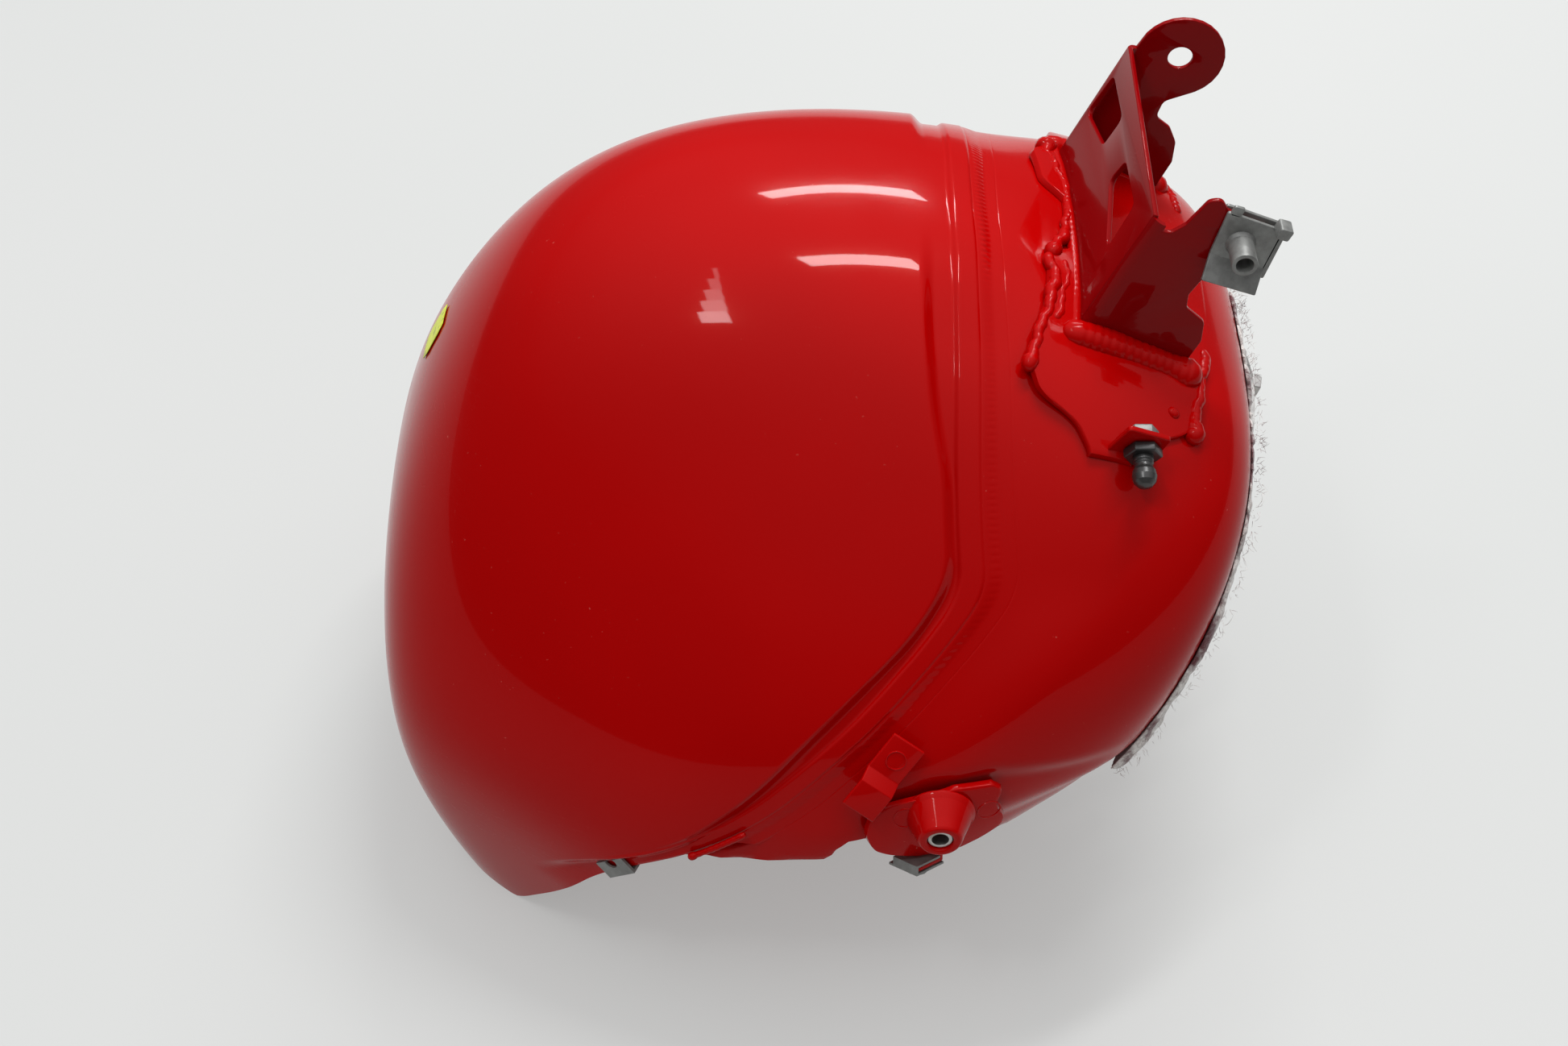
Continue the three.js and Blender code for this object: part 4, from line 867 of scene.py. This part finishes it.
for part in bracket_parts:
    bracket.append(carve(build("bracket_part", [part]), [skin_1]))


def merged(name, objects, sharp=40.0):
    bm = bmesh.new()
    for o in objects:
        bm.from_mesh(o.data)
    mesh = bpy.data.meshes.new(name)
    bm.to_mesh(mesh)
    bm.free()
    drop(objects)
    soften(mesh, sharp)
    obj = bpy.data.objects.new(name, mesh)
    bpy.context.scene.collection.objects.link(obj)
    return obj


def foot_weld(start, end, y, size, ends=(1.0, 1.2), seed=11):
    """The thick fillet weld along one foot of the bracket."""
    x = np.linspace(start, end, 9)
    top = BRACKET_AT + x[:, None] * ACROSS + (y + 0 * x)[:, None] * Y_AXIS + 30 * UP
    at = drop_to_skin(top, -UP)
    at = resample(at + normal_at(at) * 1.0, 0.6)
    far = np.arange(len(at)) * 0.6
    rng = np.random.default_rng(seed)
    knots = np.arange(0, far[-1] + 9, 8.0)
    wobble = np.interp(far, knots, rng.normal(0, 0.06, len(knots)))
    lump = 1 + wobble + 0.04 * np.abs(np.sin(math.pi * far / 3.2))
    first, last = np.exp(-(far / 5) ** 2), np.exp(-((far[-1] - far) / 5) ** 2)
    lump *= 1 + (ends[1] - 1) * last + (ends[0] - 1) * first
    return tube(at, size * lump, 14)


foot = build("bracket_welds", [
    foot_weld(-2.5, 43.5, -HALF - 2.4, 5.2), foot_weld(-2.5, 43.5, HALF + 2.2, 4.6),
    foot_weld(4, 40, -HALF + 3.5, 2.2), foot_weld(4, 40, HALF - 3.5, 2.2),
    foot_weld(-2.2, -2.2, np.linspace(-HALF - 1, HALF + 1, 9), 2.1)])
piece(merged("bracket", bracket), "red_paint", ["rear_bracket"], look=DEEP_PAINT)
piece(foot, "red_paint")

# ---------- clip nut on the bracket ----------
def arc_leaf(points, y0, y1, round_by=0.3):
    return side_plate(fillet(points, 0.8, 3), y0, y1, (), round_by)


NUT_AT = BRACKET_AT + 30.5 * ACROSS + 55 * UP + np.array([0, -HALF - 1, 0])
NUT = basis_along(NUT_AT, (0, -1, 0), (1, 0, 0))
face = [(23, 46.5), (19.5, 65), (41.5, 66), (44, 48.5)]
back_face = [(24, 42), (19.5, 65), (41.5, 66), (45, 43)]
CLIP_FLARE = math.radians(35)
bend_line = 0.9955 * ACROSS + 0.0948 * UP
tail_up = (0.9955 * UP - 0.0948 * ACROSS) * math.cos(CLIP_FLARE) + Y_AXIS * math.sin(CLIP_FLARE)
TAIL = basis(
    BRACKET_AT + 33.4 * ACROSS + 47.7 * UP + np.array([0, -HALF - 1.1, 0]), bend_line, tail_up,
    np.cross(bend_line, tail_up))
nut_hole = [circle(30.5, 55, 3.1, 28)]
tail = fillet([(-10.4, -10), (10.4, -10), (10.4, 0.8), (-10.4, 0.8)], 0.6, 3)
barrel = fillet([(3.1, 0.6), (5.6, 0.6), (4.6, 2.2), (4.6, 13), (3.1, 13)], 0.3, 2)
clip_parts = [
    side_plate(fillet(face, 1.0, 3), -HALF - 1.8, -HALF - 0.4, nut_hole, 0.3),
    side_plate(fillet(back_face, 1.0, 3), -HALF + SHEET + 0.4, -HALF + SHEET + 1.8, nut_hole, 0.3),
    moved(plate(tail, -0.7, 0.7, (), 0.3), TAIL),
    arc_leaf([(40.4, 66), (42.6, 66), (46, 45), (43.6, 45)], -HALF - 1.8, -HALF + SHEET + 1.8),
    arc_leaf([(20.5, 64), (24.5, 64.5), (24.5, 68.5), (20.5, 68)], -HALF - 1.8, -HALF - 0.4),
    arc_leaf([(37.5, 65), (42.3, 65.5), (42.3, 70), (37.5, 69.5)], -HALF - 6.8, -HALF - 0.4),
    moved(lathe(barrel, 40), NUT),
]
piece(build("nut_clip", clip_parts), "zinc_plate", ["rear_nut_clip"])

# ---------- ball stud ----------
ball = fillet([
    (0.01, 3.6), (3.7, 3.6), (3.7, 5.4), (3.3, 5.8), (3.7, 6.3), (3.3, 7), (3.5, 8.2), (4.2, 9.4),
    (4.5, 11.4), (4, 13.6), (2.6, 15.2), (0.01, 15.9)], 0.5, 3)
ball[:, 0] = np.maximum(ball[:, 0], 0)
stud_parts = [
    moved(lathe(ball, 40), STUD),
    moved(plate(fillet(circle(0, 0, 7.0, 6), 0.4, 2), 0.3, 3.8, (), 0.6), STUD),
    moved(plate(circle(0, 0, 3, 24), -6.4, 0.6, (), 0.3), STUD),
]
hexagon = fillet(circle(0, 0, 6.2, 6), 0.3, 2)
nut_parts = [moved(plate(hexagon, -7, -2.3, [circle(0, 0, 3.4, 24)], 0.6), STUD)]
piece(build("ball", stud_parts), "black_steel", ["ball_stud"])
piece(build("hex_nut", nut_parts), "zinc_plate", ["stud_nut"])


# ---------- flank hardware ----------
def ring_mark(m, radius, thick):
    """A thin raised ring, like the print of a spot weld."""
    turns, sides = 48, 8
    a = np.linspace(0, 2 * math.pi, turns + 1)
    path = np.stack([radius * np.cos(a), radius * np.sin(a), 0 * a, 0 * a + 1], -1) @ np.array(m).T
    path = path[:, :3]
    across = unit(path - np.array(m)[:3, 3])
    up = np.array(m)[:3, 2]
    b = np.arange(sides) * 2 * math.pi / sides
    out = across[:-1, None] * np.cos(b)[None, :, None] + up * np.sin(b)[None, :, None]
    grid = path[:-1, None] + thick * out
    last = (turns - 1) * sides
    faces = quads(turns, sides, True).tolist()
    for k in range(sides):
        j = (k + 1) % sides
        faces.append([last + k, last + j, j, k])
    return grid.reshape(-1, 3), faces


hook_at = drop_to_skin(np.array([[41.0, -175, 144]]), Y_AXIS)[0]
HOOK = basis_along(hook_at, normal_at(hook_at[None])[0], (-17, 0, -25))
hook_outline = fillet([
    (-6.8, 1.4), (9.4, 1.4), (13.8, 5.4), (25, 5.4), (25, 7.0), (13.2, 7.0), (8.8, 3), (-6.8, 3)], 0.7, 3)
hook_turn = basis((0, 0, 0), (1, 0, 0), (0, 0, 1), (0, -1, 0))
hook = [
    moved(plate(hook_outline, -6.8, 6.8, (), 0.5), HOOK @ hook_turn),
    ring_mark(HOOK @ shift(1.5, 0, 3.0), 3.6, 0.35),
]

BOSS = basis_along((56.5, -166, 117.5), (0, -1, 0), (1, 0, 0))
BOSS_PLANE = basis((0, -166, 0), (1, 0, 0), (0, 0, 1), (0, -1, 0))
BOSS_ROWS = [
    (95, 52, 63), (98, 42, 70), (101, 34, 75), (105, 31, 80), (111, 29, 81), (117, 30, 78), (121, 33, 78),
    (125, 38, 79.5), (128, 56, 78.5), (130, 63, 74)]
boss_y = np.linspace(95, 130, 60)
boss_left = blurred(ring([(r[0], r[1]) for r in BOSS_ROWS], boss_y), 3)
boss_right = blurred(ring([(r[0], r[2]) for r in BOSS_ROWS], boss_y), 3)
cone = fillet([
    (4.8, -0.6), (14.0, -0.6), (12.2, 2.2), (9.3, 8.6), (8.0, 12), (7.2, 13), (4.8, 13)], 1.4, 5)
TAB = basis((49.5, -165, 91), *np.eye(3)) @ turn("X", -24) @ turn("Z", 45)
square = [(-6.8, -6.8), (6.8, -6.8), (6.8, 6.8), (-6.8, 6.8)]
UPRIGHT_X = basis((0, 0, 0), (0, 1, 0), (0, 0, 1), (1, 0, 0))
UPRIGHT_Y = basis((0, 0, 0), (1, 0, 0), (0, 0, 1), (0, -1, 0))
wall = fillet([(-6.8, -0.8), (6.8, -0.8), (6.8, 15), (-6.8, 15)], 0.5, 2)
boss = [
    laid(BOSS_PLANE, boss_y, boss_left, boss_right, 60, 0.5, 2.7),
    moved(lathe(cone, 56), BOSS),
    moved(plate(fillet(square, 1.2, 3), -0.8, 0.8, [circle(0, 0, 3.2, 24)], 0.3), TAB),
    moved(plate(wall, 5.2, 6.8, (), 0.3), TAB @ UPRIGHT_X),
    moved(plate(wall, -6.8, -5.2, (), 0.3), TAB @ UPRIGHT_Y),
]
for at in ((97.3, 101.4), (98.2, 111.6)):
    p = skin_point(*at, 2.6)
    boss.append(ring_mark(basis_along(p, normal_at(p[None])[0], (1, 0, 0)), 4.4, 0.3))
insert = lathe(fillet([(3.1, -0.4), (4.5, -0.4), (4.5, 11.8), (3.1, 11.8)], 0.3, 2), 40)
for side, flip in (("left", lambda p: p), ("right", mirrored)):
    piece(build("hook_" + side, [flip(p) for p in hook]), "red_paint", ["hook_bracket_" + side])
    parts = [carve(build("boss_part", [flip(p)]), [skin_0]) for p in boss]
    piece(merged("boss_" + side, parts), "red_paint", ["boss_plate_" + side])
    piece(build("insert_" + side, [flip(moved(insert, BOSS))]), "plain_steel", ["boss_insert_" + side])

# ---------- filler dish ----------
dish_profile = fillet([
    (NECK_BORE, -NECK_LENGTH), (NECK_BORE + 1.5, -NECK_LENGTH), (NECK_BORE + 1.5, -DISH_DEPTH - 1.5),
    (DISH_RADIUS - 0.1, -DISH_DEPTH - 1.5), (DISH_RADIUS - 0.1, 9), (DISH_RADIUS - 2.2, 9),
    (DISH_RADIUS - 2.2, -DISH_DEPTH), (NECK_BORE, -DISH_DEPTH)], 1.2, 3)
dish = build("filler_dish", [moved(lathe(dish_profile, 96), FILLER)])
carve(dish, [skin_0], "INTERSECT")
drains = []
for x in (DRAIN_ACROSS, -DRAIN_ACROSS):
    drains.append(cutter("drain_cut", 4, -16, -8, 24, FILLER @ shift(x, DRAIN_ALONG, 0)))
SCREW_COUNT, SCREW_CIRCLE = 5, 38
screw_cuts = []
for k in range(SCREW_COUNT):
    a = math.radians(90 + 360 / SCREW_COUNT * k)
    place = FILLER @ shift(SCREW_CIRCLE * math.cos(a), SCREW_CIRCLE * math.sin(a), 0)
    screw_cuts.append(cutter("screw_cut", 2.5, -30, 10, 16, place))
carve(dish, drains + screw_cuts)
piece(dish, "red_paint", ["filler_recess"])

# ---------- heat pad ----------
PAD_THICK = 4.6


def ragged(x, seed, scale):
    rng = np.random.default_rng(seed)
    total = np.zeros_like(x)
    for turns, size in ((7, 0.5), (17, 0.35), (41, 0.3), (83, 0.22), (151, 0.14)):
        total += size * np.sin(np.radians(x) * turns + rng.uniform(0, 6.28))
    return total * scale


def pad_border():
    phi = smooth_ring(PAD_RING, fold(theta))
    for _ in range(80):
        u = direction(theta, phi)
        tight = (recess_radius(u) - body_radius(u) <= 9) & (phi < 172)
        phi = np.where(tight, phi + 0.5, phi)
    return phi + ragged(theta, 5, 1.1) + 0.6


pad_phi = pad_border()


def pad_grid(top):
    f = np.concatenate([np.linspace(0, 0.12, 12), np.linspace(0.12, 1, 64)[1:]])[:, None]
    phi = pad_phi + (179.5 - pad_phi) * f
    t = np.broadcast_to(theta, phi.shape)
    lump = 0.5 * np.sin(phi * 1.9 + 3 * np.sin(np.radians(t) * 5)) * np.sin(np.radians(t) * 23 + phi * 0.7)
    edge = np.sqrt(1 - (1 - np.clip(f / 0.06, 0, 1)) ** 2)
    if not top:
        return skin_point(t, phi, 0.5)
    torn = 0.5 + 0.5 * smooth(-0.6, 0.8, ragged(t, 9, 1.6) + 0.6 * smooth(50, 100, fold(t)))
    thin = 1 - 0.55 * smooth(100, 60, fold(t)) * smooth(0.5, 0.0, f)
    return skin_point(t, phi, 0.9 + (PAD_THICK - 1.6 + lump) * edge * thin * torn)


pad = build("heat_felt", [sheet(pad_grid(True), pad_grid(False), True)])
pad_cut = cutter("pad_cut", PUMP_RING + 4, -40, 40, 96, PUMP)
pad_pipes = [build("pad_pipe", [tube(pipe_path(s)[-9:], 4.6, 16)]) for s in (1, -1)]
carve(pad, [pad_cut] + pad_pipes)
piece(pad, "felt", ["heat_pad"])


def fibres(count):
    """Loose wool along the felt's torn border."""
    rng = np.random.default_rng(21)
    parts = []
    for _ in range(count):
        j = rng.integers(0, SHELL_COLS)
        along_ring, inward = rng.uniform(-0.4, 0.4), rng.uniform(-0.2, 2.2)
        at = skin_point(theta[j] + along_ring, pad_phi[j] + inward, rng.uniform(2, 5.6))
        n = normal_at(at[None])[0]
        rimward = unit(skin_point(theta[j], pad_phi[j] - 3) - skin_point(theta[j], pad_phi[j]))
        along = np.cross(n, rimward)
        lean = n * rng.uniform(0.1, 1.0) + rimward * rng.uniform(0.0, 1.2)
        heading = unit(lean + along * rng.normal(0, 0.8))
        curl = np.cross(heading, rng.normal(0, 1, 3))
        s = np.linspace(0, 1, 5)[:, None]
        length = rng.uniform(1.0, 3.2)
        path = at + heading * s * length + curl * (s ** 2) * length * 0.4
        parts.append(tube(path, np.linspace(0.10, 0.03, 5), 3))
    return parts


wool = build("felt_fibres", fibres(1000), weld=False)
piece(wool, "felt")

drop([filler_cut, pump_cut, pad_cut, skin_0, skin_1] + pipe_cuts + pad_pipes + drains + screw_cuts)

# ---------- CAD nodes that stay ----------
SLOT_OF = {s["node"]: s["material_slot"] for s in frame["record"]["subparts"]}
for name, node in frame["nodes"].items():
    if node.hide_render:
        continue
    node.data.materials.clear()
    node.data.materials.append(LOOKS[SLOT_OF[name]])
    node.data.shade_smooth()
    node.modifiers.new("weld", "WELD").merge_threshold = 2e-6
    flat = node.modifiers.new("flat", "DECIMATE")
    flat.decimate_type, flat.angle_limit = "DISSOLVE", math.radians(1)
    if name != "inspection_sticker":
        edge = node.modifiers.new("edge", "BEVEL")
        edge.width, edge.segments = 0.00035, 2
        edge.limit_method, edge.angle_limit = "ANGLE", math.radians(38)
    node.modifiers.new("shade", "WEIGHTED_NORMAL").keep_sharp = True

# ---------- floor, light and camera ----------
def floor_material():
    m = Nodes("table_top")
    tone = m.ramp(m.noise(1.1, 2), (0.3, (0.21, 0.215, 0.21)), (0.7, (0.23, 0.232, 0.228)))
    specks = m.ramp(m.noise(90, 4, 0.7), (0.78, (0,)), (0.83, (0.30,)))
    colour = m.mix(specks, tone, (0.14, 0.135, 0.12))
    return m.finish(
        colour, 0.55, m.bump(m.noise(180, 3), 0.03, 0.0004), Specular_IOR_Level=0.15,
        Emission_Color=(0.345, 0.35, 0.345, 1.0), Emission_Strength=1.0)


floor_mesh = bpy.data.meshes.new("table_top")
floor_mesh.from_pydata([(-3, -3, 0), (3, -3, 0), (3, 3, 0), (-3, 3, 0)], [], [(0, 1, 2, 3)])
floor = bpy.data.objects.new("table_top", floor_mesh)
floor_mesh.materials.append(floor_material())
bpy.context.scene.collection.objects.link(floor)


def area_light(name, at, width, height, power, degrees=0.0):
    data = bpy.data.lights.new(name, "AREA")
    data.shape, data.size, data.size_y, data.energy = "RECTANGLE", width, height, power
    lamp = bpy.data.objects.new(name, data)
    lamp.location = at
    lamp.rotation_euler = (0, 0, math.radians(degrees))
    bpy.context.scene.collection.objects.link(lamp)


area_light("ceiling_back", (0.45, 1.78, 1.90), 1.40, 0.16, 38, 36)
area_light("ceiling_near", (0.36, 0.38, 1.90), 0.80, 0.13, 19, 34)
# A patch of light that narrows away from the tank, built from strips.
for number, (x, y, width, power) in enumerate([
        (-0.655, -0.76, 0.227, 4.6), (-0.620, -0.59, 0.179, 2.3), (-0.587, -0.42, 0.130, 1.2),
        (-0.553, -0.25, 0.081, 0.52), (-0.520, -0.08, 0.034, 0.19)]):
    area_light(f"ceiling_left_{number}", (x, y, 1.90), width, 0.17, power)


def world_light():
    """A soft white room, brightest overhead and dim along the horizon."""
    world = bpy.data.worlds.new("studio")
    world.use_nodes = True
    tree = world.node_tree
    place = tree.nodes.new("ShaderNodeTexCoord").outputs["Generated"]
    split = tree.nodes.new("ShaderNodeSeparateXYZ")
    tree.links.new(place, split.inputs[0])
    total = None
    for axis, stops in (
            ("Y", [(-1.0, 0.80), (0.0, 1.0), (1.0, 1.05)]),
            ("Z", [(-0.3, 0.25), (0.0, 0.12), (0.3, 0.30), (0.6, 0.80), (1.0, 1.75)])):
        span = tree.nodes.new("ShaderNodeMapRange")
        span.inputs["From Min"].default_value = -1
        tree.links.new(split.outputs[axis], span.inputs["Value"])
        ramp = tree.nodes.new("ShaderNodeValToRGB")
        tree.links.new(span.outputs["Result"], ramp.inputs["Fac"])
        while len(ramp.color_ramp.elements) < len(stops):
            ramp.color_ramp.elements.new(0.5)
        for element, (at, value) in zip(ramp.color_ramp.elements, stops):
            element.position, element.color = (at + 1) / 2, (value, value, value * 1.01, 1)
        if total is None:
            total = ramp.outputs["Color"]
        else:
            mix = tree.nodes.new("ShaderNodeMix")
            mix.data_type, mix.blend_type = "RGBA", "MULTIPLY"
            mix.inputs[0].default_value = 1.0
            tree.links.new(total, mix.inputs[6])
            tree.links.new(ramp.outputs["Color"], mix.inputs[7])
            total = mix.outputs[2]
    tree.links.new(total, tree.nodes["Background"].inputs["Color"])
    tree.nodes["Background"].inputs["Strength"].default_value = 1.0
    bpy.context.scene.world = world


world_light()

camera_data = bpy.data.cameras.new("camera")
camera_data.lens, camera_data.sensor_width = 60, 36
camera_data.clip_start, camera_data.clip_end = 0.05, 20
camera = bpy.data.objects.new("camera", camera_data)
camera.location = (-0.01533, -0.7776, 0.8559)
camera.rotation_mode = "QUATERNION"
camera.rotation_quaternion = (Vector((-0.01533, 0, 0.105)) - camera.location).to_track_quat("-Z", "Y")
bpy.context.scene.collection.objects.link(camera)
bpy.context.scene.camera = camera
bpy.context.scene.view_settings.view_transform = "Standard"
